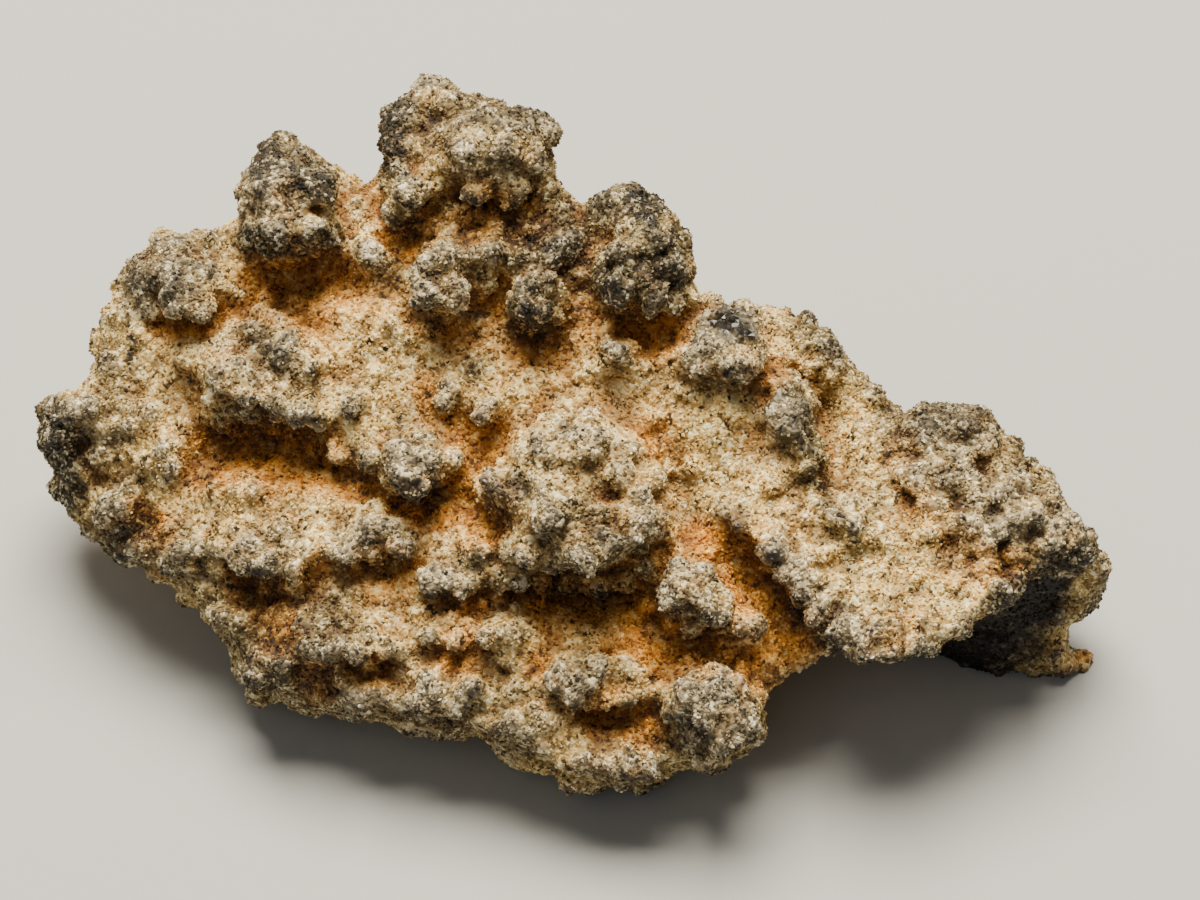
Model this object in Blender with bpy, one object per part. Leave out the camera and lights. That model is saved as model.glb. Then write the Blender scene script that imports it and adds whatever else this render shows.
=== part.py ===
"""Fulgurite: a broken, crusted piece of lightning-fused sand, built as the one solid that it is.

The rough face leans back. Its places are given in face millimetres: across (to the right), up (along
the slope) and out (square off the face). The rest of the body is given in table millimetres, with +Z up.
"""
import math

import bmesh
import bpy
import numpy as np
from mathutils import Matrix, Vector, noise
from mathutils.bvhtree import BVHTree

MM = 0.001

# Driving sizes, in millimetres and degrees.
FACE_SLOPE = 40.0  # the rough face's lean above the table
FACE_CENTRE_HEIGHT = 19.4  # the face's zero point above the table
FUSE_VOXEL = 0.6  # the grain at which the shapes melt into one
KNOB_RELIEF = 1.25  # how strongly the knobs stand out
HOLLOW_RELIEF = 1.0  # how deeply the hollows go in
TRIANGLES = 9000

# Plates: an outline seen square on the face, puffed to a rounded rim.
# (radius of the rim's curve, fullness, depth of the middle layer, its slope across, its slope up,
# how fast it bends back towards the left)
CRUST_PLATE = (6.5, 0.62, -3.6, 0.0, -0.10, 0.006)
LOBE_PLATE = (4.5, 0.50, -3.6, -0.04, -0.50, 0.0)
FIN_PLATE = (3.0, 0.40, -1.7, 0.0, 0.66, 0.0)

CRUST_OUTLINE = [
    (-41.2, 2.0), (-40.4, 3.7), (-38.4, 4.5), (-37.3, 5.5), (-37.3, 6.7), (-36.9, 7.9), (-37.2, 9.5),
    (-35.9, 10.6), (-35.1, 12.3), (-34.2, 14.1), (-33.2, 14.6), (-32.0, 14.3), (-31.4, 15.6),
    (-28.8, 16.0), (-27.2, 16.1), (-26.0, 17.2), (-25.4, 18.4), (-25.2, 20.0), (-24.9, 21.9),
    (-23.2, 22.5), (-22.5, 22.7), (-21.0, 21.2), (-19.4, 20.9), (-18.8, 19.6), (-18.1, 18.6),
    (-16.4, 18.6), (-15.9, 20.0), (-15.5, 22.0), (-14.8, 22.6), (-14.3, 24.0), (-13.2, 26.0),
    (-10.6, 26.4), (-9.7, 26.2), (-9.4, 25.1), (-6.2, 24.5), (-4.1, 22.7), (-3.5, 20.0), (-2.6, 17.0),
    (-1.4, 14.4), (-0.7, 17.2), (0.8, 18.8), (2.4, 18.8), (3.0, 17.4), (3.9, 16.6), (4.9, 16.5),
    (5.8, 14.0), (6.5, 11.5), (7.2, 10.6), (9.2, 10.3), (10.3, 9.6), (11.8, 7.2), (12.6, 5.6),
    (14.8, 4.6), (15.6, 2.0), (16.0, -2.0), (16.4, -6.0), (17.5, -10.0), (17.0, -14.8), (14.5, -15.6),
    (13.0, -16.5), (11.0, -16.7), (11.3, -18.5), (11.8, -19.9), (10.3, -21.2), (9.6, -22.0),
    (6.0, -22.5), (4.2, -23.2), (3.8, -24.2), (1.5, -24.4), (-2.0, -24.6), (-3.0, -23.0),
    (-5.3, -22.8), (-7.3, -21.8), (-8.2, -20.9), (-10.4, -20.0), (-12.2, -19.8), (-15.3, -19.1),
    (-17.0, -19.5), (-20.5, -19.2), (-23.0, -18.0), (-26.1, -16.9), (-26.2, -15.0), (-27.3, -13.8),
    (-28.8, -11.5), (-30.2, -10.5), (-32.4, -8.8), (-34.8, -7.5), (-37.4, -6.2), (-38.5, -4.4),
    (-40.2, -2.7), (-41.0, 0.2),
]
LOBE_OUTLINE = [
    (12.0, -6.0), (14.5, -4.0), (17.0, -1.5), (19.5, 1.0), (20.8, 2.6), (22.5, 2.8), (24.2, 2.6),
    (26.0, 2.8), (27.3, 2.6), (28.3, 1.6), (29.6, 0.9), (30.2, -0.3), (32.6, -2.8), (34.0, -4.4),
    (35.0, -6.6), (34.4, -7.6), (31.0, -8.3), (28.8, -10.0), (27.4, -11.3), (25.6, -12.4),
    (23.7, -13.3), (22.5, -14.3), (20.8, -14.6), (19.2, -14.4), (17.8, -13.6), (16.4, -12.0),
    (15.2, -10.8), (13.6, -10.0), (11.4, -8.2),
]
FIN_OUTLINE = [
    (22.5, -14.3), (26.0, -15.4), (28.0, -15.9), (29.8, -16.6), (31.6, -17.8), (33.4, -18.6),
    (34.8, -17.4), (37.0, -16.6), (36.0, -15.2), (34.2, -14.2), (33.6, -13.2), (34.8, -12.4),
    (37.0, -12.3), (36.3, -11.0), (36.5, -9.6), (36.6, -8.0), (35.0, -5.0), (28.0, -4.0), (22.0, -6.0),
]

# The body behind and under the face: centre and radii on the table (right, back, up).
CORE = [
    ((-26.0, 8.5, 10.5), (9.0, 8.5, 9.0)),
    ((-17.0, 9.0, 9.5), (12.0, 12.5, 10.5)),
    ((-6.0, 8.0, 9.0), (13.0, 13.0, 10.5)),
    ((-9.0, 17.0, 11.0), (9.0, 7.0, 12.0)),
    ((6.0, 5.0, 7.5), (13.0, 12.0, 9.0)),
    ((13.0, 10.5, 6.5), (8.5, 8.0, 7.0)),
    ((22.0, 4.0, 7.5), (9.0, 5.5, 7.5)),
    ((29.5, 1.0, 7.5), (5.0, 4.0, 6.0)),
    ((1.0, -8.0, 4.0), (7.0, 4.5, 5.0)),
]

# The ridge behind the right shoulder: places on the face, how far out, and radius.
RIDGE = [
    (8.0, 5.0, -14.0, 4.8), (11.4, 5.9, -14.0, 4.6), (13.8, 5.1, -13.5, 4.6), (15.8, 3.0, -13.0, 4.3),
    (18.0, 0.8, -12.0, 4.0), (20.4, -0.8, -10.5, 3.6),
]

# Knobs on the face: across, up, radius across, radius up, radius out, how far the top stands proud.
KNOBS = [
    # the left horn and the rim beside it
    (-22.3, 17.4, 3.8, 3.8, 4.4, 4.0), (-23.2, 20.5, 2.1, 1.8, 2.6, 2.4), (-20.2, 19.2, 1.7, 1.4, 2.2, 2.8),
    (-29.4, 12.2, 2.6, 1.6, 3.2, 3.2), (-20.3, 16.0, 1.6, 1.2, 2.4, 3.4), (-32.5, 13.0, 1.4, 1.3, 1.6, 1.2),
    (-16.3, 13.7, 2.0, 1.1, 1.9, 1.8),
    # the middle horn
    (-13.8, 23.0, 2.2, 1.4, 2.6, 2.6), (-11.9, 25.3, 2.8, 1.2, 2.0, 1.4), (-13.6, 18.4, 2.2, 2.5, 2.8, 2.8),
    (-7.4, 21.1, 4.2, 3.5, 4.2, 4.0), (-5.0, 20.4, 2.0, 1.2, 2.6, 3.2), (-9.8, 20.2, 1.8, 1.6, 2.4, 3.0),
    (-3.4, 17.6, 1.3, 2.3, 2.0, 1.6),
    # below the middle horn
    (-11.0, 12.2, 2.4, 2.3, 3.0, 3.2), (-8.0, 14.2, 1.8, 1.3, 1.9, 2.2), (-4.7, 10.7, 1.8, 2.4, 2.8, 2.8),
    (-3.1, 14.5, 1.8, 1.6, 2.4, 2.6), (1.3, 6.7, 1.25, 1.5, 2.0, 2.3), (4.4, 6.8, 1.2, 0.8, 1.0, 1.0),
    # the right horn
    (1.4, 17.2, 1.9, 1.6, 2.6, 2.4), (3.6, 14.8, 2.4, 2.5, 3.6, 3.8), (1.5, 12.2, 2.5, 2.7, 3.2, 3.2),
    (4.8, 11.6, 1.6, 2.0, 2.6, 2.6),
    # the right shoulder
    (8.6, 6.8, 3.3, 3.2, 3.8, 2.3), (8.9, 8.9, 1.7, 0.9, 1.8, 1.9), (13.3, 2.8, 1.8, 2.2, 2.4, 1.3),
    (9.6, 2.8, 1.9, 1.0, 1.7, 1.3), (9.8, -4.9, 1.0, 0.8, 1.2, 1.2), (14.4, -4.5, 0.9, 0.8, 1.2, 0.9),
    # the upper left
    (-24.6, 8.7, 0.9, 0.9, 1.1, 1.3), (-22.7, 7.3, 1.6, 1.2, 1.8, 2.2), (-20.6, 6.4, 1.3, 1.0, 1.5, 1.9),
    (-26.6, 5.7, 1.7, 1.4, 2.2, 2.6), (-17.7, 3.4, 1.1, 1.0, 1.4, 1.6), (-17.5, 0.5, 2.0, 0.9, 1.4, 1.5),
    (-37.8, 2.7, 2.4, 1.8, 3.0, 2.6), (-37.2, -1.2, 2.0, 1.0, 1.6, 1.0), (-34.6, 5.5, 1.8, 0.7, 1.3, 1.2),
    (-35.2, -3.9, 1.9, 0.9, 2.0, 1.8), (-31.6, 0.6, 1.6, 1.4, 1.6, 1.2), (-33.4, 2.6, 1.3, 1.0, 1.3, 1.0),
    # the middle
    (-13.1, -1.2, 2.3, 1.8, 3.0, 3.4), (-11.1, 4.0, 1.1, 0.9, 1.3, 1.6),
    (-8.4, 3.1, 1.1, 0.9, 1.3, 1.6), (-8.2, -6.7, 1.2, 0.9, 1.4, 1.6),
    # the dome
    (-2.0, -2.6, 5.8, 4.6, 6.0, 3.4), (-1.6, 0.3, 4.3, 2.3, 3.8, 3.8), (-7.0, -2.5, 1.9, 1.4, 2.6, 3.4),
    (-3.4, -4.2, 2.5, 1.5, 2.6, 5.2), (-5.4, -7.0, 1.6, 1.2, 2.3, 3.9), (-0.8, -7.0, 2.9, 1.4, 3.4, 5.2),
    (3.2, -5.4, 1.9, 1.3, 2.6, 4.2), (2.8, -2.2, 1.8, 1.4, 2.0, 3.6),
    # the lower middle
    (6.0, -10.0, 2.5, 1.8, 3.4, 3.4), (8.2, -11.1, 1.5, 1.2, 2.4, 2.8), (10.0, -12.1, 1.5, 1.2, 2.0, 2.0),
    (-11.6, -9.1, 1.2, 0.9, 1.4, 1.6), (-9.4, -9.6, 1.5, 1.0, 1.5, 1.7), (-7.2, -9.1, 1.2, 0.9, 1.4, 1.6),
    (-2.9, -16.1, 1.5, 1.1, 1.7, 1.8), (-5.8, -13.0, 1.9, 1.2, 1.7, 1.6), (-1.2, -13.8, 1.6, 1.0, 1.5, 1.4),
    # the foot of the face
    (7.9, -18.7, 3.4, 3.2, 4.6, 4.0), (6.6, -17.2, 1.7, 1.2, 2.0, 4.2), (9.7, -19.2, 1.6, 1.5, 2.2, 3.9),
    (1.6, -22.4, 2.4, 1.2, 2.4, 2.0), (-1.4, -22.2, 1.7, 1.2, 2.0, 1.6), (3.4, -20.6, 1.3, 1.0, 1.5, 1.4),
    (-3.6, -20.4, 1.7, 1.2, 1.8, 1.6), (-6.6, -20.2, 1.6, 1.2, 1.7, 1.5), (-12.6, -17.2, 1.9, 1.2, 1.9, 1.5),
    (-9.0, -17.6, 1.7, 1.2, 1.7, 1.5), (-17.0, -17.2, 1.7, 1.1, 1.7, 1.5), (-23.4, -15.6, 2.2, 1.4, 2.6, 2.4),
    (-21.2, -12.3, 1.3, 1.0, 1.5, 1.7), (-29.5, -7.9, 2.2, 1.4, 2.2, 1.8), (-27.2, -12.0, 1.6, 1.2, 1.8, 1.4),
    (-32.6, -6.9, 1.4, 0.9, 1.4, 1.2),
    # the lobe
    (17.6, -4.7, 2.4, 1.5, 2.0, 1.5), (23.2, 1.3, 2.0, 1.3, 1.7, 1.3), (26.6, 1.2, 2.0, 1.5, 1.9, 1.5),
    (30.0, -4.1, 2.8, 1.3, 2.0, 1.6), (24.0, -2.2, 2.2, 1.6, 1.8, 1.4), (33.2, -5.2, 1.7, 0.9, 1.4, 1.1),
    (20.6, -12.4, 2.0, 1.0, 1.4, 0.8), (31.4, -1.9, 1.4, 1.0, 1.3, 1.0), (28.6, -1.0, 1.5, 1.1, 1.4, 1.1),
]

# Ledges on the face: a line of places, its radius, its thickness out.
LEDGES = [
    ([(-28.2, 6.6), (-27.4, 4.9), (-25.0, 4.7), (-22.6, 4.2), (-20.4, 3.2), (-18.8, 2.3)], 1.4, 2.1),
    ([(-26.2, -6.6), (-23.6, -7.2), (-21.6, -7.0), (-19.0, -6.6), (-16.4, -5.8), (-13.4, -6.0)], 1.1, 1.8),
    ([(-22.6, -12.0), (-20.6, -13.6), (-18.6, -14.2), (-15.6, -13.6)], 1.0, 1.5),
    ([(-12.8, -9.8), (-10.0, -10.0), (-7.2, -9.6)], 0.9, 1.4),
    ([(-12.2, -13.6), (-10.4, -12.9), (-8.6, -13.8)], 0.8, 1.1),
    ([(4.2, -9.4), (5.8, -10.6), (7.6, -11.8), (9.0, -12.2)], 1.5, 2.0),
    ([(-1.2, -16.6), (0.8, -16.9), (2.6, -16.8)], 0.9, 1.4),
    ([(24.4, -6.0), (27.4, -5.8), (30.2, -5.6), (33.6, -5.6)], 1.0, 1.3),
    # the lobe's left edge and its front lip
    ([(11.9, -6.0), (13.3, -8.0), (15.0, -10.2), (16.8, -12.2), (18.8, -13.6)], 1.1, 2.5),
    ([(20.6, -13.8), (23.2, -12.9), (25.8, -11.6), (28.2, -10.0), (30.8, -8.2), (33.6, -7.2)], 0.9, 1.4),
    # the cliff of the right shoulder
    ([(11.0, 7.0), (12.6, 4.6), (14.2, 2.0), (14.9, -1.0)], 1.0, 1.7),
]

# Hollows on the face. Each is deepest right under the ledge above it and slopes out again below: a line of
# places along the ledge's foot, its width, its depth there, and how far the slope runs out below.
HOLLOWS = [
    # under the left horn and the rim knob
    ([(-25.0, 13.0), (-21.5, 13.2), (-18.6, 13.6)], 1.3, 2.9, 3.8),
    ([(-31.2, 9.8), (-27.8, 9.9)], 1.0, 2.6, 2.6), ([(-20.2, 17.4), (-18.8, 17.6)], 0.8, 1.6, 1.6),
    ([(-17.6, 12.4), (-15.0, 12.6)], 0.8, 1.6, 1.8),
    # under the middle horn
    ([(-15.2, 21.4), (-12.6, 21.0)], 0.8, 1.6, 1.2), ([(-15.2, 16.0), (-12.2, 15.6)], 1.0, 1.9, 2.2),
    ([(-11.2, 17.3), (-8.0, 17.5), (-4.6, 17.2)], 1.1, 2.1, 2.4),
    ([(-13.2, 10.2), (-9.0, 9.8)], 1.0, 2.3, 2.8), ([(-6.4, 8.6), (-2.9, 8.4)], 1.0, 2.3, 2.6),
    ([(-2.6, 13.0), (-1.0, 12.0)], 0.9, 2.2, 2.6), ([(-8.6, 12.4), (-7.0, 12.2)], 0.8, 1.6, 2.0),
    # under the right horn, and on the slope below it
    ([(2.6, 9.4), (5.2, 9.2)], 1.0, 2.6, 2.4), ([(-0.4, 4.6), (1.8, 4.4)], 0.8, 1.4, 1.6),
    ([(6.2, 4.0), (10.6, 3.4)], 0.9, 1.8, 1.8), ([(9.0, 1.4), (10.8, 1.2)], 0.8, 1.2, 1.4),
    ([(3.2, 1.8), (5.0, 1.4)], 0.7, 1.0, 1.2),
    # the long hollow on the left, and the left end
    ([(-29.0, 0.4), (-26.0, 1.6), (-22.6, 1.6), (-19.6, 1.0)], 1.3, 3.5, 4.0),
    ([(-19.0, -1.4), (-16.2, -1.6)], 0.9, 2.2, 2.2),
    ([(-31.9, 6.4)], 0.6, 1.0, 1.0), ([(-39.6, 0.2), (-36.4, 0.0)], 1.0, 2.2, 2.4),
    ([(-36.4, -2.4), (-34.2, -2.2)], 0.8, 1.4, 1.6), ([(-33.8, -5.2), (-31.2, -5.6)], 0.9, 2.0, 1.6),
    # the middle
    ([(-9.6, 2.2), (-7.4, 2.0)], 0.9, 2.6, 2.4), ([(-13.2, 4.4), (-10.8, 3.2)], 0.7, 1.4, 1.4),
    ([(-14.8, -3.0), (-11.2, -3.4)], 1.0, 2.5, 2.4), ([(-8.0, -4.0), (-5.8, -4.2)], 0.8, 2.0, 1.8),
    ([(-9.2, -7.8), (-7.4, -7.8)], 0.7, 1.4, 1.2),
    # the dome's creases, and the hollow under it
    ([(-4.6, -5.6), (-2.0, -5.0), (-0.6, -3.6)], 0.6, 1.4, 1.0), ([(-2.4, 1.8)], 0.6, 0.9, 0.6),
    ([(-6.2, -8.8), (-3.4, -9.6), (-0.2, -9.7), (3.6, -8.6)], 1.3, 3.8, 4.6),
    ([(3.4, -11.6), (5.6, -12.6), (8.2, -13.4)], 1.0, 3.0, 2.8),
    # under the long ledge on the left, and below it
    ([(-25.8, -8.8), (-22.2, -9.2)], 1.0, 2.4, 3.6), ([(-20.8, -8.6), (-19.2, -8.4)], 0.8, 1.6, 1.6),
    ([(-17.6, -7.8), (-13.2, -7.6)], 1.0, 2.3, 2.2), ([(-24.4, -12.8), (-22.4, -13.2)], 0.8, 1.6, 1.8),
    ([(-21.4, -15.0), (-18.0, -15.4), (-14.8, -14.9)], 0.9, 2.2, 1.8),
    ([(-12.0, -10.6), (-7.2, -10.4)], 0.8, 1.8, 1.8),
    ([(-12.6, -14.4), (-10.2, -13.9), (-7.8, -14.6)], 0.8, 1.8, 1.8),
    ([(-28.9, -7.9)], 0.6, 0.9, 0.7), ([(-17.6, -12.2), (-16.4, -11.2)], 0.6, 0.8, 0.8),
    ([(-24.4, -14.9), (-22.0, -15.4)], 0.8, 1.6, 1.2), ([(-14.0, -18.4)], 0.6, 1.0, 0.8),
    ([(-28.8, -10.4), (-27.4, -11.4)], 0.7, 1.2, 1.4), ([(-15.0, -10.8), (-13.2, -10.9)], 0.7, 1.4, 1.6),
    ([(-20.6, -10.9), (-18.8, -11.0)], 0.6, 1.0, 1.0), ([(-6.6, -20.5), (-4.0, -21.0)], 0.7, 1.2, 1.0),
    # the foot of the face
    ([(-1.4, -17.6), (2.4, -17.8)], 1.0, 2.4, 3.0), ([(4.6, -19.4), (4.8, -22.8)], 0.8, 1.6, 0.6),
    ([(-5.4, -15.0), (-3.4, -14.9)], 0.7, 1.2, 1.4), ([(-11.0, -18.4), (-7.6, -18.8)], 0.7, 1.2, 1.2),
    # the lobe
    ([(24.8, -6.8), (28.2, -6.9), (31.2, -6.6)], 0.9, 1.5, 2.0), ([(21.4, 0.3)], 0.7, 0.9, 0.9),
    ([(27.4, -3.9), (28.8, -4.1)], 0.6, 1.0, 0.9), ([(30.4, -2.4), (31.6, -2.6)], 0.6, 0.9, 0.8),
    ([(16.4, -6.2), (19.2, -6.4)], 0.8, 1.0, 1.6),
]

# Sideways steps on the face: a line of places along the foot of each step, its width, its depth, how far the
# slope runs out, and which way it faces (across, up).
STEPS = [
    ([(11.2, 8.6), (12.9, 6.4), (14.9, 3.8)], 0.8, 3.0, 2.6, (0.94, 0.34)),
    ([(14.9, 3.4), (15.9, 0.2), (16.3, -2.8)], 0.9, 4.2, 4.2, (0.94, 0.34)),
    ([(12.0, -8.4), (13.4, -10.2), (14.8, -11.8), (16.4, -13.4)], 0.9, 3.4, 4.4, (-0.80, -0.60)),
    ([(10.2, -6.6), (11.4, -7.8)], 0.8, 1.8, 3.0, (-0.70, -0.70)),
    ([(-8.2, -0.6), (-8.7, -2.4), (-8.4, -4.2)], 0.7, 1.8, 2.0, (-1.0, -0.2)),
    ([(-6.6, -6.4), (-7.0, -8.0)], 0.7, 1.6, 1.8, (-1.0, -0.3)),
    ([(4.6, -0.6), (5.2, -2.8), (5.6, -5.0), (5.2, -7.0)], 0.8, 1.8, 4.0, (1.0, 0.0)),
    ([(4.8, -16.0), (4.4, -18.4), (4.6, -21.0)], 0.8, 2.0, 1.8, (-1.0, -0.1)),
    ([(-28.6, 5.2), (-28.9, 3.4), (-28.7, 1.8)], 0.8, 1.6, 2.0, (-1.0, 0.0)),
    ([(-40.4, 1.4), (-40.2, -1.0)], 0.9, 1.4, 1.2, (-0.9, -0.4)),
]

# The alcove under the lobe: a bent, tapering channel of (right, back, up) places and radii.
ALCOVE = [
    ((40.0, -11.5, 4.0), 6.4), ((32.0, -10.5, 4.0), 6.2), ((25.0, -9.5, 3.5), 6.4), ((19.5, -9.0, 3.0), 6.2),
    ((15.0, -9.5, 2.0), 5.0), ((11.0, -9.5, 0.0), 3.6),
]


def face_frame():
    """Turns face millimetres into table millimetres."""
    turn = Matrix.Rotation(math.radians(FACE_SLOPE), 4, "X")
    return Matrix.Translation((0, 0, FACE_CENTRE_HEIGHT)) @ turn


def clear_scene():
    for old in list(bpy.data.objects):
        bpy.data.objects.remove(old)


def mesh_from(bm, name):
    mesh = bpy.data.meshes.new(name)
    bm.to_mesh(mesh)
    bm.free()
    return mesh


def with_modifiers(mesh, *settings):
    """The mesh after these modifiers, each a (type, {setting: value}) pair."""
    thing = bpy.data.objects.new("worked", mesh)
    bpy.context.scene.collection.objects.link(thing)
    for kind, values in settings:
        modifier = thing.modifiers.new(kind.title(), kind)
        for key, value in values.items():
            setattr(modifier, key, value)
    graph = bpy.context.evaluated_depsgraph_get()
    result = bpy.data.meshes.new_from_object(thing.evaluated_get(graph))
    bpy.data.objects.remove(thing)
    return result


def fused(mesh, voxel):
    return with_modifiers(mesh, ("REMESH", {"mode": "VOXEL", "voxel_size": voxel}))


def places_of(mesh):
    flat = np.empty(len(mesh.vertices) * 3, np.float32)
    mesh.vertices.foreach_get("co", flat)
    return flat.reshape(-1, 3).astype(float)


def put_places(mesh, places):
    mesh.vertices.foreach_set("co", places.astype(np.float32).ravel())
    mesh.update()


def normals_of(mesh):
    flat = np.empty(len(mesh.vertices) * 3, np.float32)
    mesh.vertices.foreach_get("normal", flat)
    return flat.reshape(-1, 3).astype(float)


def distance_to_line(points, line, closed=False):
    """How far each (across, up) point lies from a line of places."""
    line = np.asarray(line, float)
    if len(line) == 1:
        return np.linalg.norm(points - line[0], axis=1)
    starts, ends = (line, np.roll(line, -1, axis=0)) if closed else (line[:-1], line[1:])
    nearest = np.full(len(points), np.inf)
    for a, b in zip(starts, ends):
        along = np.clip((points - a) @ (b - a) / ((b - a) @ (b - a)), 0, 1)
        nearest = np.minimum(nearest, np.linalg.norm(points - a - along[:, None] * (b - a), axis=1))
    return nearest


def puffed_plate(outline, plate):
    """A plate with a flat outline and a rounded, swollen body, in face millimetres."""
    rim, fullness, depth, slope_across, slope_up, bend = plate
    half_slab, voxel = 0.8, 0.7
    bm = bmesh.new()
    face = bm.faces.new([bm.verts.new((u, v, -half_slab)) for u, v in outline])
    raised = bmesh.ops.extrude_face_region(bm, geom=[face])["geom"]
    bmesh.ops.translate(bm, verts=[g for g in raised if isinstance(g, bmesh.types.BMVert)],
                        vec=(0, 0, 2 * half_slab))
    bmesh.ops.recalc_face_normals(bm, faces=bm.faces)
    mesh = fused(mesh_from(bm, "slab"), voxel)
    places = places_of(mesh)
    inside = np.minimum(distance_to_line(places[:, :2], outline, closed=True), rim)
    swell = half_slab + fullness * np.sqrt(inside * (2 * rim - inside))
    middle = depth + slope_across * places[:, 0] + slope_up * places[:, 1]
    middle -= bend * np.minimum(places[:, 0], 0) ** 2
    places[:, 2] = middle + places[:, 2] / half_slab * swell
    put_places(mesh, places)
    return mesh


def add_ball(bm, centre, radii, detail=3, turn=0.0):
    """A ball stretched to three radii, turned about its third axis."""
    matrix = (Matrix.Translation(centre) @ Matrix.Rotation(math.radians(turn), 4, "Z")
              @ Matrix.Diagonal((*radii, 1.0)))
    bmesh.ops.create_icosphere(bm, subdivisions=detail, radius=1.0, matrix=matrix)


def body_block():
    """The plates and the core melted into one body, in table millimetres."""
    bm = bmesh.new()
    to_table = face_frame()
    for outline, plate in ((CRUST_OUTLINE, CRUST_PLATE), (LOBE_OUTLINE, LOBE_PLATE)):
        mesh = puffed_plate(outline, plate)
        mesh.transform(to_table)
        bm.from_mesh(mesh)
    for centre, radii in CORE:
        add_ball(bm, centre, radii, detail=4)
    for u, v, out, radius in RIDGE:
        add_ball(bm, to_table @ Vector((u, v, out)), (radius, radius, radius))
    return fused(mesh_from(bm, "block"), FUSE_VOXEL)


def surface_out(tree, u, v):
    """How far out of the face the body reaches at a place on it."""
    hit = tree.ray_cast(Vector((u, v, 80.0)), Vector((0, 0, -1)))[0]
    return hit.z if hit else None


def add_knobs_and_ledges(block):
    """Melts the knobs and ledges onto the face."""
    to_table = face_frame()
    block.transform(to_table.inverted())
    bm = bmesh.new()
    bm.from_mesh(block)
    tree = BVHTree.FromBMesh(bm)
    for u, v, wide, tall, deep, proud in KNOBS:
        out = surface_out(tree, u, v)
        add_ball(bm, (u, v, out + KNOB_RELIEF * proud - deep), (wide, tall, deep))
    for line, radius, deep in LEDGES:
        for (u0, v0), (u1, v1) in zip(line[:-1], line[1:]):
            for share in (0.0, 0.33, 0.67, 1.0):
                u, v = u0 + share * (u1 - u0), v0 + share * (v1 - v0)
                out = surface_out(tree, u, v)
                add_ball(bm, (u, v, out), (radius * 1.1, radius, deep))
    return fused(mesh_from(bm, "knobbed"), FUSE_VOXEL)


def shade_of(places, line, width, tail, facing):
    """How deep each place lies in a hollow: full along its line, gone behind it and at its slope's end."""
    line = np.asarray(line, float)
    starts, ends = (line, line) if len(line) == 1 else (line[:-1], line[1:])
    facing = np.asarray(facing, float) / np.linalg.norm(facing)
    deepest = np.zeros(len(places))
    for a, b in zip(starts, ends):
        along = np.clip((places - a) @ (b - a) / max((b - a) @ (b - a), 1e-9), 0, 1)
        off = places - a - along[:, None] * (b - a)
        ahead = off @ facing
        aside = np.linalg.norm(off - ahead[:, None] * facing, axis=1)
        slope = np.where(ahead > 0, ahead / (width * 0.5 + tail), -ahead / (0.75 * width))
        deepest = np.maximum(deepest, 1 - np.hypot(slope, aside / (1.3 * width)))
    return np.where(deepest > 0.5, 1 - 2 * (1 - deepest) ** 2, deepest)


def press_hollows(mesh):
    """Presses the hollows and steps into the face."""
    places, facing = places_of(mesh), normals_of(mesh)[:, 2]
    front = np.clip((facing + 0.2) / 0.5, 0, 1)
    front[places[:, 2] < -14] = 0
    cuts = [(*hollow, (0.0, -1.0)) for hollow in HOLLOWS] + STEPS
    for line, width, depth, tail, way in cuts:
        share = shade_of(places[:, :2], line, width, tail, way) * front
        places[:, 2] -= HOLLOW_RELIEF * depth * share
    put_places(mesh, places)
    return fused(mesh, FUSE_VOXEL)


def roughened(mesh):
    """Lumps the whole skin: broad swells, and rounded lumps of about 2 mm, as fused sand has."""
    places, normals = places_of(mesh), normals_of(mesh)
    rough = np.array([
        0.6 * noise.noise(Vector(p / 3.4)) + 1.2 * (0.55 - noise.voronoi(Vector(p / 2.3))[0][0])
        for p in places
    ])
    put_places(mesh, places + normals * rough[:, None])
    return fused(mesh, FUSE_VOXEL)


def cut_alcove(mesh):
    """Opens the channel under the lobe."""
    bm = bmesh.new()
    for (a, ra), (b, rb) in zip(ALCOVE[:-1], ALCOVE[1:]):
        for share in np.linspace(0, 1, 6):
            centre = Vector(a).lerp(Vector(b), share)
            radius = ra + share * (rb - ra)
            add_ball(bm, centre, (radius, radius, radius * 1.05))
    cutter = bpy.data.objects.new("alcove_cutter", fused(mesh_from(bm, "alcove"), FUSE_VOXEL))
    bpy.context.scene.collection.objects.link(cutter)
    opened = with_modifiers(mesh, ("BOOLEAN", {"operation": "DIFFERENCE", "object": cutter}))
    bpy.data.objects.remove(cutter)
    return opened


def with_fin(mesh):
    """Melts the rear wall's end onto the body, behind the channel."""
    fin = puffed_plate(FIN_OUTLINE, FIN_PLATE)
    fin.transform(face_frame())
    bm = bmesh.new()
    bm.from_mesh(mesh)
    bm.from_mesh(fin)
    return fused(mesh_from(bm, "walled"), FUSE_VOXEL)


def flat_foot(mesh):
    """Cuts off what lies below the table and closes the cut with flat feet."""
    bm = bmesh.new()
    bm.from_mesh(mesh)
    bmesh.ops.bisect_plane(bm, geom=bm.verts[:] + bm.edges[:] + bm.faces[:], dist=1e-5,
                           plane_co=(0, 0, 0), plane_no=(0, 0, -1), clear_outer=True)
    rims = [e for e in bm.edges if e.is_boundary]
    bmesh.ops.holes_fill(bm, edges=rims, sides=0)
    bmesh.ops.triangulate(bm, faces=bm.faces)
    bmesh.ops.recalc_face_normals(bm, faces=bm.faces)
    return mesh_from(bm, "footed")


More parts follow.
